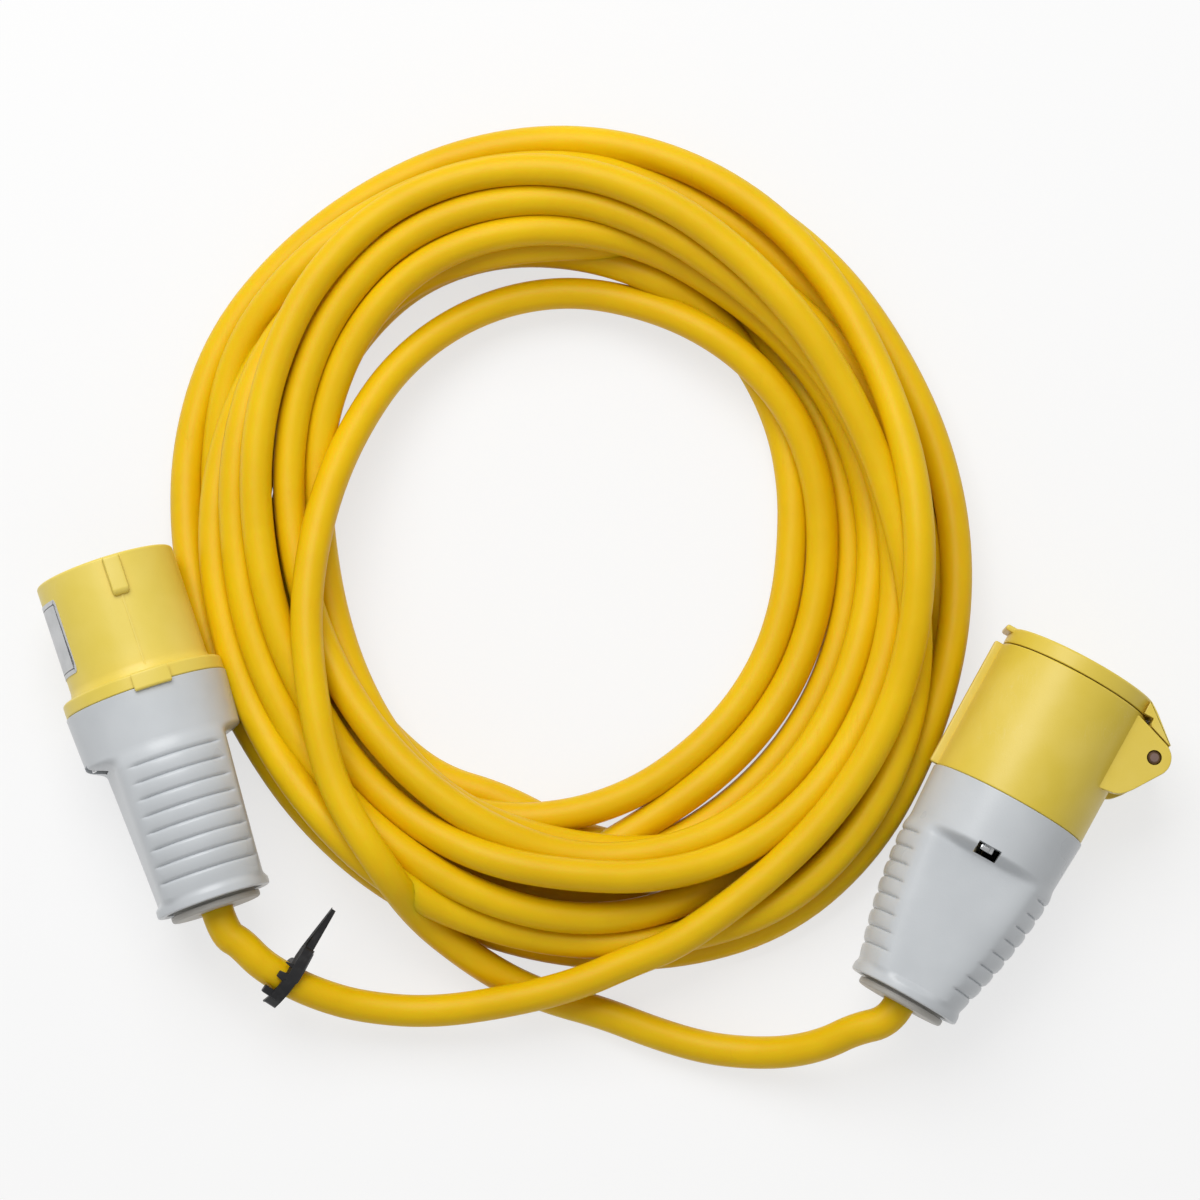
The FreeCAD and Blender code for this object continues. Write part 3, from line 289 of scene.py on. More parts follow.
class Look:
    """One finish: a material, its shader, and the patterns that feed it."""

    def __init__(self, name, **fixed):
        self.material = bpy.data.materials.new(name)
        self.material.use_nodes = True
        self.nodes = self.material.node_tree.nodes
        self.links = self.material.node_tree.links
        self.shader = self.nodes["Principled BSDF"]
        for socket, value in fixed.items():
            self.shader.inputs[socket.replace("_", " ")].default_value = value
        self.place = self.add("ShaderNodeTexCoord", output="Object")

    def add(self, kind, settings=None, inputs=None, output=0):
        """A node of this type, its settings set before the values or links of its sockets."""
        node = self.nodes.new(kind)
        for name, value in (settings or {}).items():
            setattr(node, name, value)
        for socket, value in (inputs or {}).items():
            self.feed(node.inputs[socket], value)
        return Wire(self, node.outputs[output])

    def feed(self, socket, value):
        if isinstance(value, Wire):
            self.links.new(value.socket, socket)
        else:
            socket.default_value = value

    def maths(self, operation, *values):
        return self.add("ShaderNodeMath", {"operation": operation}, dict(enumerate(values)))

    def between(self, value, low, high):
        """0 below low, 1 above high, and a straight slope from one to the other."""
        steps = {"Value": value, "From Min": low, "From Max": high}
        return self.add("ShaderNodeMapRange", {"clamp": True}, steps)

    def noise(self, scale, detail=2.0, stretch=(1, 1, 1), turn=(0, 0, 0)):
        """A cloudy pattern, its scale in spots to a metre."""
        spread = self.add("ShaderNodeMapping", None,
                          {"Vector": self.place, "Scale": stretch, "Rotation": turn})
        return self.add("ShaderNodeTexNoise", None,
                        {"Vector": spread, "Scale": scale, "Detail": detail, "Roughness": 0.55})

    def scratches(self, scale, turn, width):
        """Fine lines where a long stretched noise passes its middle value, in a few patches."""
        lines = self.maths("ABSOLUTE", self.noise(scale, 1.0, (1, 0.05, 1), turn) - 0.5)
        return (1 - self.between(lines, 0, width)) * self.between(self.noise(28), 0.56, 0.68)

    def edges(self, low, high):
        """The outer edges of a piece, which hands and floors rub."""
        bend = self.add("ShaderNodeNewGeometry", output="Pointiness")
        return self.between(bend, low, high)

    def mix(self, share, low, high):
        """One colour turning into another as share goes from 0 to 1."""
        def colour(value):
            return value if isinstance(value, Wire) else (*value, 1)
        return self.add("ShaderNodeMix", {"data_type": "RGBA"},
                        {0: share, 6: colour(low), 7: colour(high)}, 2)

    def paint(self, colour):
        self.feed(self.shader.inputs["Base Color"], colour)

    def dull(self, roughness):
        self.feed(self.shader.inputs["Roughness"], roughness)

    def raise_by(self, height, distance):
        """Small relief: height 1 stands this far above height 0, in metres."""
        bump = self.add("ShaderNodeBump", None,
                        {"Height": height, "Strength": 1.0, "Distance": distance})
        self.feed(self.shader.inputs["Normal"], bump)


# How far the finest relief stands up on plastic and on rubber
PLASTIC_GRAIN, RUBBER_GRAIN = 0.00002, 0.00003


def moulded(name, colour, gloss, wear=0.10, grime=0.10):
    """Moulded plastic: a little cloudy, with scuffs and dust, and rubbed edges unless wear is 0."""
    look = Look(name, IOR=1.5, Specular_IOR_Level=0.4)
    cloud = look.noise(38, 3.0)
    speck = look.noise(1500)
    deep = [0.93 * each for each in colour]
    pale = [each + (1 - each) * 0.06 for each in colour]
    body = look.mix(look.between(cloud, 0.3, 0.7), deep, pale)
    soiled = [0.55 * each + 0.03 for each in colour]
    body = look.mix(look.between(look.noise(11, 4.0), 0.54, 0.78) * grime, body, soiled)
    body = look.mix(look.between(speck, 0.66, 0.76) * 0.10, body, soiled)
    scuffs = (look.scratches(420, (0.3, 0.2, 0.9), 0.010)
              + look.scratches(520, (1.2, 0.1, -0.5), 0.008))
    rubbed = [each + (1 - each) * 0.4 for each in colour]
    marked = scuffs * 0.16
    if wear:
        marked = marked + look.edges(0.53, 0.62) * wear
    body = look.mix(marked, body, rubbed)
    look.paint(body)
    look.dull(gloss + 0.10 * cloud + 0.12 * scuffs)
    look.raise_by(look.noise(2600) + 0.6 * look.noise(900, 1.0) - 0.5 * scuffs, PLASTIC_GRAIN)
    return look.material


def metal(name, colour, gloss, drawn=(1, 1, 1)):
    """Metal with fine drawn lines, bright where it isn't tarnished in patches."""
    look = Look(name, Metallic=1.0)
    tarnish = look.between(look.noise(160, 4.0), 0.42, 0.72)
    lines = look.noise(2400, 2.0, drawn)
    bright = [min(1.0, 1.06 * each) for each in colour]
    look.paint(look.mix(tarnish, bright, [0.70 * each for each in colour]))
    look.dull(gloss + 0.16 * tarnish + 0.10 * lines)
    look.raise_by(lines, 0.000008)
    return look.material


def rubbery(name, colour, gloss, dust=0.12):
    """Rubber or soft sheath: an even colour, a fine pebbled skin and pale dust in patches."""
    look = Look(name, IOR=1.48)
    cloud = look.noise(60, 3.0)
    pale = [each + (0.55 - each) * 0.35 for each in colour]
    body = look.mix(look.between(cloud, 0.3, 0.7), [0.9 * each for each in colour], colour)
    look.paint(look.mix(look.between(look.noise(420, 4.0), 0.5, 0.8) * dust, body, pale))
    look.dull(gloss + 0.14 * cloud)
    look.raise_by(look.noise(2200, 3.0), RUBBER_GRAIN)
    return look.material


def cord_finish():
    """The cord's soft sheath: deep yellow, satin, with faint scuffs and the cores' slow waves."""
    look = Look("cord_sheath", IOR=1.5, Specular_IOR_Level=0.22, Subsurface_Weight=0.3,
                Subsurface_Radius=(1.0, 0.32, 0.05), Subsurface_Scale=0.005)
    cloud = look.noise(24, 3.0)
    body = look.mix(look.between(cloud, 0.32, 0.68), (0.77, 0.475, 0.0008), (0.84, 0.545, 0.0015))
    body = look.mix(look.between(look.noise(9, 5.0), 0.55, 0.75) * 0.10, body, (0.50, 0.27, 0.02))
    marks = (look.scratches(300, (0.5, 0.4, 0.8), 0.008)
             + look.scratches(360, (0.2, 1.0, -0.7), 0.008))
    body = look.mix(look.between(look.noise(1300), 0.68, 0.76) * 0.12 + 0.10 * marks, body,
                    (0.45, 0.24, 0.02))
    look.paint(body)
    look.dull(0.39 + 0.10 * cloud + 0.16 * marks)
    waves = look.noise(120, 1.0)
    look.raise_by(0.10 * look.noise(2400) + waves - 0.08 * marks, 0.00016)
    return look.material


def striped_core():
    """The earth core: green with a yellow stripe along it."""
    look = Look("core_green_yellow", IOR=1.48)
    bands = look.add("ShaderNodeTexWave", {"bands_direction": "X"},
                     {"Vector": look.place, "Scale": 70.0, "Distortion": 1.0})
    body = look.mix(look.between(bands, 0.45, 0.55), (0.05, 0.32, 0.03), (0.80, 0.62, 0.02))
    dust = look.between(look.noise(500, 3.0), 0.55, 0.8)
    look.paint(look.mix(dust * 0.15, body, (0.3, 0.3, 0.25)))
    look.dull(0.42 + 0.12 * look.noise(90))
    look.raise_by(look.noise(2200), PLASTIC_GRAIN)
    return look.material


def foil(name, colour):
    """A silvered sticker: fine brushed grain, soft creases and dull finger marks."""
    look = Look(name, Metallic=0.35)
    grain = look.noise(2200, 2.0, (1, 0.08, 1), (0, 0, 0.33))
    crease = look.noise(130, 3.0)
    look.paint(look.mix(look.between(crease, 0.35, 0.7), colour, [0.86 * each for each in colour]))
    look.dull(0.34 + 0.16 * grain + 0.12 * crease)
    look.raise_by(crease + 0.1 * grain, 0.00006)
    return look.material


# The plug's yellow and the connector's are one plastic. The plug's copy is painted paler, as
# painted light, because more light falls on the plug than on the connector.
PLUG_YELLOW_PAINTED_LIT = (0.84, 0.655, 0.095)
CONNECTOR_YELLOW = (0.785, 0.59, 0.055)
GREY = (0.595, 0.622, 0.645)
LOOKS = {
    "yellow_plastic": moulded("yellow_plastic", CONNECTOR_YELLOW, 0.30),
    "plug_yellow_painted_lit": moulded("plug_yellow_painted_lit", PLUG_YELLOW_PAINTED_LIT, 0.30),
    "insert_plastic": moulded("insert_plastic", (0.60, 0.61, 0.62), 0.42, wear=0),
    "grey_plastic": moulded("grey_plastic", GREY, 0.24, grime=0.07),
    "collar_plastic": moulded("collar_plastic", (0.47, 0.45, 0.41), 0.36),
    "clamp_plastic": moulded("clamp_plastic", (0.06, 0.06, 0.065), 0.40, wear=0, grime=0.3),
    "contact_brass": metal("contact_brass", (0.80, 0.70, 0.47), 0.16, (1, 0.1, 1)),
    "plated_steel": metal("plated_steel", (0.66, 0.67, 0.68), 0.22),
    "hinge_steel": metal("hinge_steel", (0.24, 0.165, 0.14), 0.34),
    "seal_rubber": rubbery("seal_rubber", (0.035, 0.035, 0.037), 0.55),
    "cord_sheath": cord_finish(),
    "core_green_yellow": striped_core(),
    "core_brown": rubbery("core_brown", (0.16, 0.065, 0.025), 0.42, dust=0.06),
    "core_blue": rubbery("core_blue", (0.03, 0.10, 0.48), 0.42, dust=0.06),
    "strap_rubber": rubbery("strap_rubber", (0.012, 0.012, 0.014), 0.40, dust=0.10),
    "label_foil": foil("label_foil", (0.66, 0.67, 0.68)),
    "label_print": foil("label_print", (0.10, 0.10, 0.11)),
}


# The pieces. Each is made in millimetres round its own axis, Y towards the mouth and the key or
# the keyway up (+Z), and is then rolled and laid in its place.
MM = Matrix.Scale(0.001, 4)


def rolled(degrees):
    """A roll about Y that takes +Z towards +X."""
    return Matrix.Rotation(math.radians(degrees), 4, "Y")


PLUG_PLACE = PLUG @ MM @ rolled(11.6)
CONNECTOR_PLACE = CONNECTOR @ MM @ rolled(-90)
CONNECTOR_GRIP_PLACE = CONNECTOR @ MM @ rolled(90)


def bevel(shape, geom, width, segments, affect="EDGES"):
    bmesh.ops.bevel(shape, geom=geom, offset=width, offset_type="OFFSET", segments=segments,
                    profile=0.5, affect=affect, clamp_overlap=False, material=-1)


def outline(corners):
    """A closed line in the YZ plane through corners of (out, along) or (out, along, rounding)."""
    shape = bmesh.new()
    spots = [shape.verts.new((0, corner[1], corner[0])) for corner in corners]
    for one, other in zip(spots, spots[1:] + spots[:1]):
        shape.edges.new((one, other))
    for spot, corner in zip(spots, corners):
        if len(corner) > 2:
            bevel(shape, [spot], corner[2], 4, "VERTICES")
    return shape


def closed_up(shape):
    """The shape with its doubled corners joined and its faces turned outwards."""
    bmesh.ops.remove_doubles(shape, verts=shape.verts[:], dist=0.0005)
    bmesh.ops.recalc_face_normals(shape, faces=shape.faces[:])
    return shape


def lathe(corners, start=0.0, sweep=360.0, steps=96):
    """A half section turned about Y, from this bearing and as far round as sweep."""
    shape = outline(corners)
    shape.transform(rolled(start))
    bmesh.ops.spin(shape, geom=shape.verts[:] + shape.edges[:], cent=(0, 0, 0), axis=(0, 1, 0),
                   dvec=(0, 0, 0), angle=math.radians(sweep), steps=steps, use_merge=sweep == 360,
                   use_normal_flip=False, use_duplicate=False)
    if sweep < 360:
        bmesh.ops.holes_fill(shape, edges=shape.edges[:], sides=0)
    return closed_up(shape)


def eased(shape, width, least=28):
    """The shape with its edges rounded to this width, if they bend more than least degrees."""
    sharp = [edge for edge in shape.edges
             if len(edge.link_faces) == 2 and edge.calc_face_angle(0) > math.radians(least)]
    bevel(shape, sharp, width, 2)
    return shape


def block(low, high, soft):
    """A block between two corners, its edges rounded."""
    shape = bmesh.new()
    bmesh.ops.create_cube(shape, size=1)
    low, high = Vector(low), Vector(high)
    bmesh.ops.scale(shape, vec=high - low, verts=shape.verts[:])
    bmesh.ops.translate(shape, vec=(low + high) / 2, verts=shape.verts[:])
    return eased(shape, soft) if soft else shape


def plate(corners, low, high, soft):
    """A flat piece with this outline in the YZ plane, from low to high along X."""
    shape = outline(corners)
    bmesh.ops.contextual_create(shape, geom=shape.edges[:])
    bmesh.ops.translate(shape, vec=(low, 0, 0), verts=shape.verts[:])
    grown = bmesh.ops.extrude_face_region(shape, geom=shape.faces[:], use_keep_orig=True)
    moved = [each for each in grown["geom"] if isinstance(each, bmesh.types.BMVert)]
    bmesh.ops.translate(shape, vec=(high - low, 0, 0), verts=moved)
    return eased(closed_up(shape), soft, least=50) if soft else closed_up(shape)


def together(*shapes):
    """Several closed shapes as one."""
    whole = bmesh.new()
    for shape in shapes:
        spare = bpy.data.meshes.new("spare")
        shape.to_mesh(spare)
        shape.free()
        whole.from_mesh(spare)
        bpy.data.meshes.remove(spare)
    return whole


def set_down(name, shape, place):
    """An object of a shape, which is used up."""
    shape.transform(place)
    data = bpy.data.meshes.new(name)
    shape.to_mesh(data)
    shape.free()
    return placed(name, data)


def carved(shape, *cutters):
    """The shape less the cutters, which are used up."""
    body = set_down("body", shape, Matrix())
    tool = set_down("tool", together(*cutters), Matrix())
    cut = body.modifiers.new("cut", "BOOLEAN")
    cut.object = tool
    cut.operation = "DIFFERENCE"
    cut.solver = "EXACT"
    left = bmesh.new()
    left.from_object(body, bpy.context.evaluated_depsgraph_get())
    for each in (body, tool):
        data = each.data
        bpy.data.objects.remove(each)
        bpy.data.meshes.remove(data)
    return left


def piece(name, shape, place, looks, body, instead, bend=32):
    """A finished piece: where it lies, its finishes, what it moves with and what it replaces."""
    made = set_down(name, shape, place)
    made.data.polygons.foreach_set("use_smooth", [True] * len(made.data.polygons))
    made.data.set_sharp_from_angle(angle=math.radians(bend))
    even = made.modifiers.new("even_light", "WEIGHTED_NORMAL")
    even.keep_sharp = True
    for look in looks:
        made.data.materials.append(LOOKS[look])
    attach(made, body)
    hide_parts(*instead)
    return made


# The plug's housing: the shroud round the pins, its step and flange, the key and the grip's catch
SHROUD = [(19.4, 1.0), (19.4, 41.8, 0.7), (21.75, 41.8, 0.9), (21.75, 6.9, 0.8),
          (22.5, 4.6, 0.3), (25.3, 4.6, 0.9), (25.3, 0.1, 0.5), (23.0, 0.1), (23.0, -12.0, 0.5),
          (21.15, -12.0), (21.15, 1.0)]
KEY = [(20.6, 41.5), (23.95, 41.5, 1.3), (23.95, 29.6, 1.2), (22.6, 29.0, 0.3), (20.6, 29.0)]
CATCH = [(24.4, 4.5), (27.1, 4.5, 1.0), (27.1, -1.2, 0.9), (25.8, -1.2, 0.3),
         (25.8, 0.25, 0.2), (24.4, 0.25)]
housing = together(
    lathe(SHROUD),
    plate(KEY, -2.65, 2.65, 0.95),
    eased(lathe(CATCH, -12.7, 25.4, 20), 0.35, least=60),
    block((-0.35, 6.0, 21.0), (0.35, 29.4, 21.95), 0.12),
    block((-0.3, 0.2, 24.6), (0.3, 4.4, 25.42), 0.1),
)
piece("plug_housing", housing, PLUG_PLACE, ["plug_yellow_painted_lit"], "lead", ["plug_shroud"])

# Its label: a bare foil plate with rounded corners and a thin printed frame
label = lathe([(21.6, 11.8), (21.95, 11.8), (21.95, 35.3), (21.6, 35.3)], -134.6, 75, 30)
corner_edges = [edge for edge in label.edges
                if edge.calc_length() < 0.4 and abs(edge.calc_face_angle(0)) > 1]
bevel(label, corner_edges, 2.0, 5)
label.normal_update()
front = [face for face in label.faces
         if face.normal.dot((face.calc_center_median() * Vector((1, 0, 1))).normalized()) > 0.9]
bmesh.ops.inset_region(label, faces=front, thickness=1.3, use_even_offset=True)
ring = bmesh.ops.inset_region(label, faces=front, thickness=0.3, use_even_offset=True)
for face in ring["faces"]:
    face.material_index = 1
piece("plug_plate", label, PLUG_PLACE, ["label_foil", "label_print"], "lead", ["plug_label"])

# The grips. Downwards from the housing: a round barrel, a shoulder, and a part with two flat
# sides and two scalloped ones, which narrows to a neck and a flared lip round the collar.
BARREL, TAPER = 25.6, 0.85
SHOULDER = (15.9, 20.9)
WAIST_FROM, WAIST_LENGTH = 20.5, 43
RIBS_FROM, RIB, RIBS, RIB_DEPTH = 22.1, 5.12, 8, 1.05
NECK, LIP_FROM = 62.4, 64.9
LIP = 17.9
ROW_CORNERS = 144


def ramp(share):
    """0 below 0, 1 above 1, and an even slope between them that starts and ends flat."""
    share = max(0.0, min(1.0, share))
    return share * share * (3 - 2 * share)


def lesser(one, other, blend):
    """The lesser of two lengths, blended where they are nearly alike."""
    share = max(0.0, min(1.0, 0.5 + 0.5 * (other - one) / blend))
    return other * (1 - share) + one * share - blend * share * (1 - share)


def waist(bearing, down):
    """How far the flat and scalloped sides reach at this bearing, this far down."""
    share = (down - WAIST_FROM) / WAIST_LENGTH
    # Half the width between the flat sides, the height of their edges, and of the curved sides
    half = 17.7 - 1.5 * share
    edge = 17.5 - 7.5 * share
    crown = 25.4 - 8.2 * share + 5.8 * share * (1 - share)
    across, up = abs(math.sin(bearing)), abs(math.cos(bearing))
    middle = (crown ** 2 - half ** 2 - edge ** 2) / (2 * (crown - edge))
    arc = middle * up + math.sqrt((crown - middle) ** 2 - (middle * across) ** 2)
    flat = half / max(across, 0.02)
    reach = lesser(flat, arc, 3.0)
    # The valleys between the ribs, which fade out towards the flat sides
    place = (down - RIBS_FROM) / RIB
    if -0.5 <= place <= RIBS - 0.5:
        middle_off = abs(2 * (place % 1) - 1)
        dip = 0.6 * middle_off ** 6 + 0.4 * middle_off ** 2
    else:
        dip = 0.0
    along = (down - 22) / 36
    fade = 19.9 - 5.5 * along - 3.6 * along * along
    return reach - RIB_DEPTH * dip * ramp((reach * up - fade) / 2.2)


def grip_reach(bearing, down):
    """How far the grip's skin reaches at this bearing, this far down."""
    barrel = BARREL - TAPER * min(down / SHOULDER[0], 1)
    if down <= SHOULDER[0]:
        return barrel
    if down < SHOULDER[1]:
        share = ramp(ramp((down - SHOULDER[0]) / (SHOULDER[1] - SHOULDER[0])))
        return barrel * (1 - share) + waist(bearing, SHOULDER[1]) * share
    share = ramp((down - NECK) / (LIP_FROM - NECK))
    return waist(bearing, min(down, LIP_FROM)) * (1 - share) + LIP * share


def grip_form():
    """The grip's shell: its skin row by row, and then its bores, back up to the housing."""
    # A rib's rows, from the bottom of the valley before it, closest where its sides are steep
    scallop = (0.0, 0.035, 0.075, 0.13, 0.22, 0.5, 0.78, 0.87, 0.925, 0.965)
    downs = [0.4, 8.0] + [SHOULDER[0] + 5.0 * step / 14 for step in range(15)]
    downs += [21.4, 21.7, 21.93]
    downs += [RIBS_FROM + RIB * (rib + part) for rib in range(RIBS - 1) for part in scallop]
    downs += [RIBS_FROM + RIB * (RIBS - 1 + part) for part in scallop[:5]] + [60.5]
    downs += [NECK + step * 0.3125 for step in range(9)]
    rows = [("round", BARREL - 0.4, 0.0), ("round", BARREL - 0.12, 0.12)]
    rows += [("skin", 0, down) for down in downs]
    rows += [("round", LIP, 66.3), ("round", LIP - 0.15, 66.75), ("round", LIP - 0.6, 67.0),
             ("round", 16.0, 67.0), ("round", 15.3, 66.6), ("round", 14.7, 64.8),
             ("round", 14.25, 62.4), ("round", 13.15, 62.4), ("round", 13.15, 56.1),
             ("round", 8.0, 56.1), ("round", 8.0, 54.5), ("round", 14.4, 54.5),
             ("round", 14.4, 51.6), ("round", 16.0, 23.0), ("round", 16.0, 18.8),
             ("round", 23.15, 14.6), ("round", 23.15, 0.0)]
    shape = bmesh.new()
    bmesh.ops.create_circle(shape, cap_ends=False, segments=ROW_CORNERS, radius=1)
    bmesh.ops.rotate(shape, cent=(0, 0, 0), matrix=Matrix.Rotation(math.radians(90), 3, "X"),
                     verts=shape.verts[:])
    edges, ring = shape.edges[:], shape.verts[:]
    for place, (kind, radius, down) in enumerate(rows):
        if place > 0:
            grown = bmesh.ops.extrude_edge_only(shape, edges=edges)["geom"]
            edges = [each for each in grown if isinstance(each, bmesh.types.BMEdge)]
            ring = [each for each in grown if isinstance(each, bmesh.types.BMVert)]
        for spot in ring:
            bearing = math.atan2(spot.co.x, spot.co.z)
            reach = radius if kind == "round" else grip_reach(bearing, down)
            spot.co = (reach * math.sin(bearing), -down, reach * math.cos(bearing))
    open_ends = [edge for edge in shape.edges if len(edge.link_faces) == 1]
    bmesh.ops.bridge_loops(shape, edges=open_ends)
    return closed_up(shape)


def grip_piece():
    """The grip with the clip's window, and inside it the clamp's seat with the cord's channel."""
    window = block((-30, -19.35, -3.75), (-15, -15.85, 3.75), 0.0)
    seat = block((-11, -51.6, -15.4), (11, -43.6, -1.2), 0.3)
    shell = carved(grip_form(), window)
    channel = lathe([(0, -60), (5.2, -60), (5.2, -40), (0, -40)], steps=48)
    return together(shell, carved(seat, channel))


for end, place in (("plug", PLUG_PLACE), ("connector", CONNECTOR_GRIP_PLACE)):
    piece(end + "_handle", grip_piece(), place, ["grey_plastic"], "lead", [end + "_grip"],
          bend=40)
    collar = lathe([(5.5, -62.4), (13.0, -62.4), (13.0, -67.65), (14.1, -67.65, 0.3),
                    (14.1, -69.7, 0.9), (5.5, -69.7, 0.7)])
    piece(end + "_gland_collar", collar, place, ["collar_plastic"], "lead", [end + "_end_collar"])
    sprung = together(block((-22.3, -17.9, -1.6), (-21.5, -12.3, 1.6), 0.2),
                      block((-22.9, -17.9, -2.6), (-21.7, -16.1, 0.5), 0.45))
    piece(end + "_clip_nose", sprung, place, ["plated_steel"], end + "_clip",
          [end + "_release_clip"])

# The hinge's place across the connector
HINGE = Matrix.Translation((0, 32.9, -31.1)) @ Matrix.Rotation(math.radians(90), 4, "Z")


def hinge_bore(radius):
    """A cutter for the pin's hole through the ears or the lid's arm."""
    bore = lathe([(0, -20), (radius, -20), (radius, 20), (0, 20)], steps=40)
    bore.transform(HINGE)
    return bore


# The connector's housing: its round wall, the strip outside the keyway, and the hinge's ears
WALL = [(18.95, 1.0), (18.95, 4.0), (22.25, 4.0), (22.25, 43.0, 0.5), (25.1, 43.0, 0.6),
        (25.1, 0.1, 0.5), (23.0, 0.1), (23.0, -12.0, 0.5), (21.15, -12.0), (21.15, 1.0)]
EAR = [(-19.4, 42.2), (-20.6, 42.2, 0.8), (-34.4, 37.6, 2.0), (-36.4, 34.5, 1.6),
       (-36.5, 31.0, 1.6), (-29.4, 20.0, 2.0), (-26.7, 17.5, 1.6), (-20.1, 16.6, 0.5),
       (-19.4, 16.6)]
keyway = block((-2.95, 4.0, 18.0), (2.95, 45.0, 24.25), 0.0)
ears = together(plate(EAR, -14.2, -11.2, 0.45), plate(EAR, 11.2, 14.2, 0.45))
housing = together(
    carved(lathe(WALL), keyway),
    carved(ears, hinge_bore(2.3)),
    block((-1.65, 0.3, 24.2), (1.65, 42.8, 27.6), 0.7),
)
piece("connector_housing", housing, CONNECTOR_PLACE, ["yellow_plastic"], "lead", ["connector_body"])

# Its lid: the cap with a skirt, the finger tongue, the arm that turns on the pin, with room for
# the spring, and a cheek at either side of the arm
CAP = [(0, 46.2), (0, 48.4), (25.0, 48.4, 0.9), (25.0, 43.3, 0.35), (23.5, 43.3, 0.3), (23.5, 46.2)]
ARM = [(-22.1, 47.6), (-22.5, 47.6, 0.3), (-25.5, 45.6, 1.4), (-34.1, 38.3, 1.6),
       (-35.5, 35.3, 1.2), (-35.3, 30.9, 1.4), (-33.0, 28.6, 1.4), (-29.2, 28.6, 1.4),
       (-26.8, 31.0, 1.4), (-26.5, 35.3, 1.4), (-25.4, 41.7, 0.4), (-25.4, 43.3),
       (-24.5, 43.3), (-24.5, 46.0), (-22.1, 46.0)]
CHEEK = [(-22.1, 47.6), (-22.5, 47.6, 0.3), (-25.5, 45.6, 1.4), (-33.9, 38.5, 0.2),
         (-33.5, 38.3, 0.1), (-25.5, 41.0, 0.8), (-25.4, 43.35), (-22.1, 43.35)]
arm = plate(ARM, -10.9, 10.9, 0.45)
spring_room = block((-5.7, 20.0, -40.0), (5.7, 38.9, -20.0), 0.0)
tongue = block((-6.5, 46.5, 20.0), (6.5, 48.4, 26.9), 0.75)
cheeks = together(plate(CHEEK, -14.0, -10.7, 0.3), plate(CHEEK, 10.7, 14.0, 0.3))
arm = carved(carved(arm, spring_room), hinge_bore(2.15))
lid = together(lathe(CAP), arm, cheeks, tongue)
piece("connector_cap", lid, CONNECTOR_PLACE, ["yellow_plastic"], "lid", ["connector_lid"])

# The rubber tie on the plug's lead: a ring, a strip over it with a thin tail, and three barbs
heading = Vector((0.80, -0.52, -0.30)).normalized()
aside = Vector((-heading.y, heading.x, 0)).normalized()
TIE_PLACE = Matrix.Translation((-0.0962, -0.0595, 0.0211)) @ Matrix(
    [[*row] for row in zip(aside, -heading, aside.cross(-heading))]).to_4x4() @ MM
STRIP = [(-1.4, -9.2, 0.8), (1.4, -9.4, 1.0), (5.2, -6.0, 2.0), (7.3, -1.0, 2.0), (6.6, 4.0, 2.0),
         (4.9, 11.3, 0.5), (4.0, 11.9, 0.2), (3.4, 25.6, 0.4), (2.3, 25.6, 0.4), (2.2, 11.5, 0.5),
         (3.4, 6.0, 1.0), (5.15, 3.2, 0.5), (5.6, 0.0, 0.5), (4.9, -3.4, 1.0), (1.4, -7.0, 1.0)]


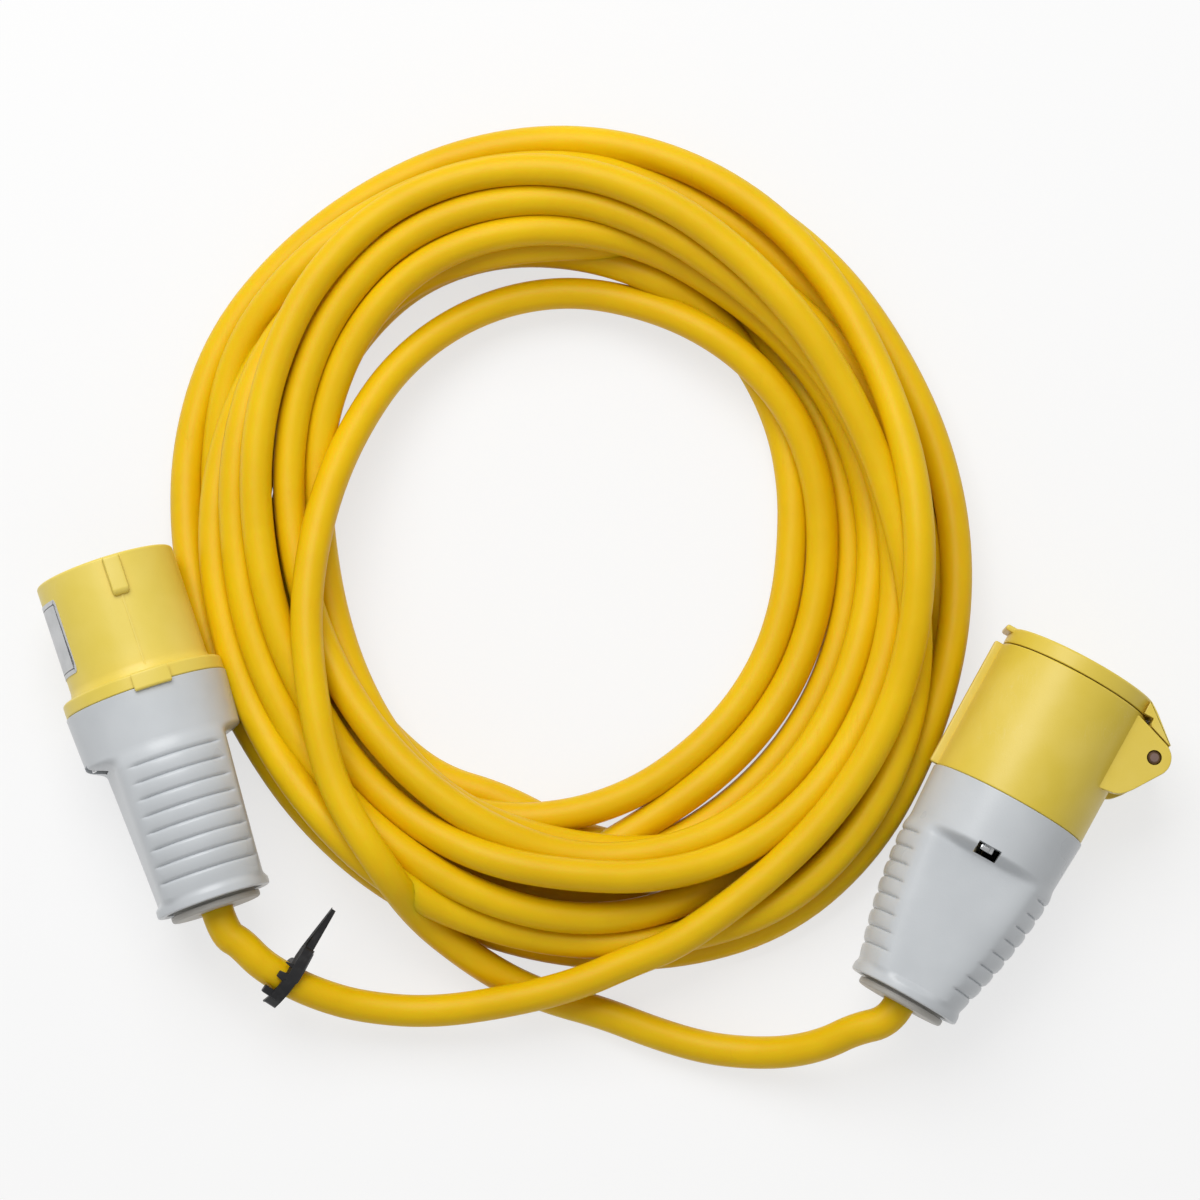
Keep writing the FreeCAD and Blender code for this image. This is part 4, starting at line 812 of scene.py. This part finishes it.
def tie_form():
    """The tie round its own Y axis, its tail along +X."""
    ring = lathe([(5.1, -1.9), (6.7, -1.9, 0.4), (6.7, 1.9, 0.4), (5.1, 1.9)], steps=48)
    strip = plate(STRIP, -1.9, 1.9, 0.0)
    strip.transform(Matrix.Rotation(math.radians(-90), 4, "Z"))
    # The strip narrows where the tail starts, and again towards the tail's tip
    for spot in strip.verts:
        spot.co.y *= 1 - 0.34 * ramp((spot.co.x - 9) / 5) - 0.26 * max(0.0, (spot.co.x - 13) / 12)
    eased(strip, 0.35, least=50)
    barbs = [plate([(-7.0, 0.0), (-7.0, 5.2, 0.4), (-4.6, 5.2, 0.4), (-4.6, 0.0)], -4.6, -2.6, 0.3),
             plate([(-1.4, 0.0), (-0.6, 4.4, 0.3), (1.4, 4.4, 0.3), (2.2, 0.0)], -7.0, -5.4, 0.3),
             plate([(3.6, 0.0), (4.2, 4.05, 0.2), (4.7, 4.05, 0.2), (5.6, 0.0)], -6.2, -4.8, 0.2)]
    for barb in barbs:
        barb.transform(rolled(90))
    return together(ring, strip, *barbs)


tie = piece("lead_tie", tie_form(), TIE_PLACE, ["strap_rubber"], "lead", ["cable_tie"])
[spot.co[:] for spot in through("middle_line", route, 0).vertices]

# The parts that keep their own solids get their finishes, and so does the cord
for name, node in nodes.items():
    for spot in node.material_slots:
        spot.material = LOOKS[spot.material.name]
cord.data.materials.clear()
cord.data.materials.append(LOOKS["cord_sheath"])


# A pale floor that shows white and keeps a soft shadow, a wide lamp overhead and an even sky
def seen_directly(look):
    """1 for what the camera, a mirror or glass looks at, 0 for light on the object."""
    rays = [look.add("ShaderNodeLightPath", output=name)
            for name in ("Is Camera Ray", "Is Glossy Ray", "Is Transmission Ray")]
    return look.maths("MINIMUM", rays[0] + rays[1] + rays[2], 1.0)


GLOW_SHARE = 0.7
floor_look = Look("floor", Base_Color=(0.86, 0.86, 0.86, 1), Roughness=0.9,
                  Specular_IOR_Level=0.0)
glow = floor_look.add("ShaderNodeEmission", None, {"Color": (1, 1, 1, 1), "Strength": 1.0})
blend = floor_look.add("ShaderNodeMixShader", None,
                       {0: seen_directly(floor_look) * GLOW_SHARE, 2: glow})
floor_look.links.new(floor_look.shader.outputs[0], blend.socket.node.inputs[1])
floor_look.links.new(blend.socket, floor_look.nodes["Material Output"].inputs["Surface"])
ground = bmesh.new()
bmesh.ops.create_grid(ground, x_segments=1, y_segments=1, size=4)
floor = set_down("floor", ground, Matrix())
floor.data.materials.append(floor_look.material)

world = bpy.data.worlds.new("sky")
world.use_nodes = True
sky = world.node_tree.nodes["Background"]
sky.inputs["Color"].default_value = (1, 1, 1, 1)
sky.inputs["Strength"].default_value = 0.42
scene.world = world
lamp = placed("wide_lamp", bpy.data.lights.new("wide_lamp", "AREA"))
lamp.location = (-0.25, 0.75, 1.15)
lamp.data.size = 1.0
lamp.data.energy = 14.5
lamp.rotation_euler = (lamp.location - TARGET).to_track_quat("Z", "Y").to_euler()
scene.view_settings.view_transform = "Standard"
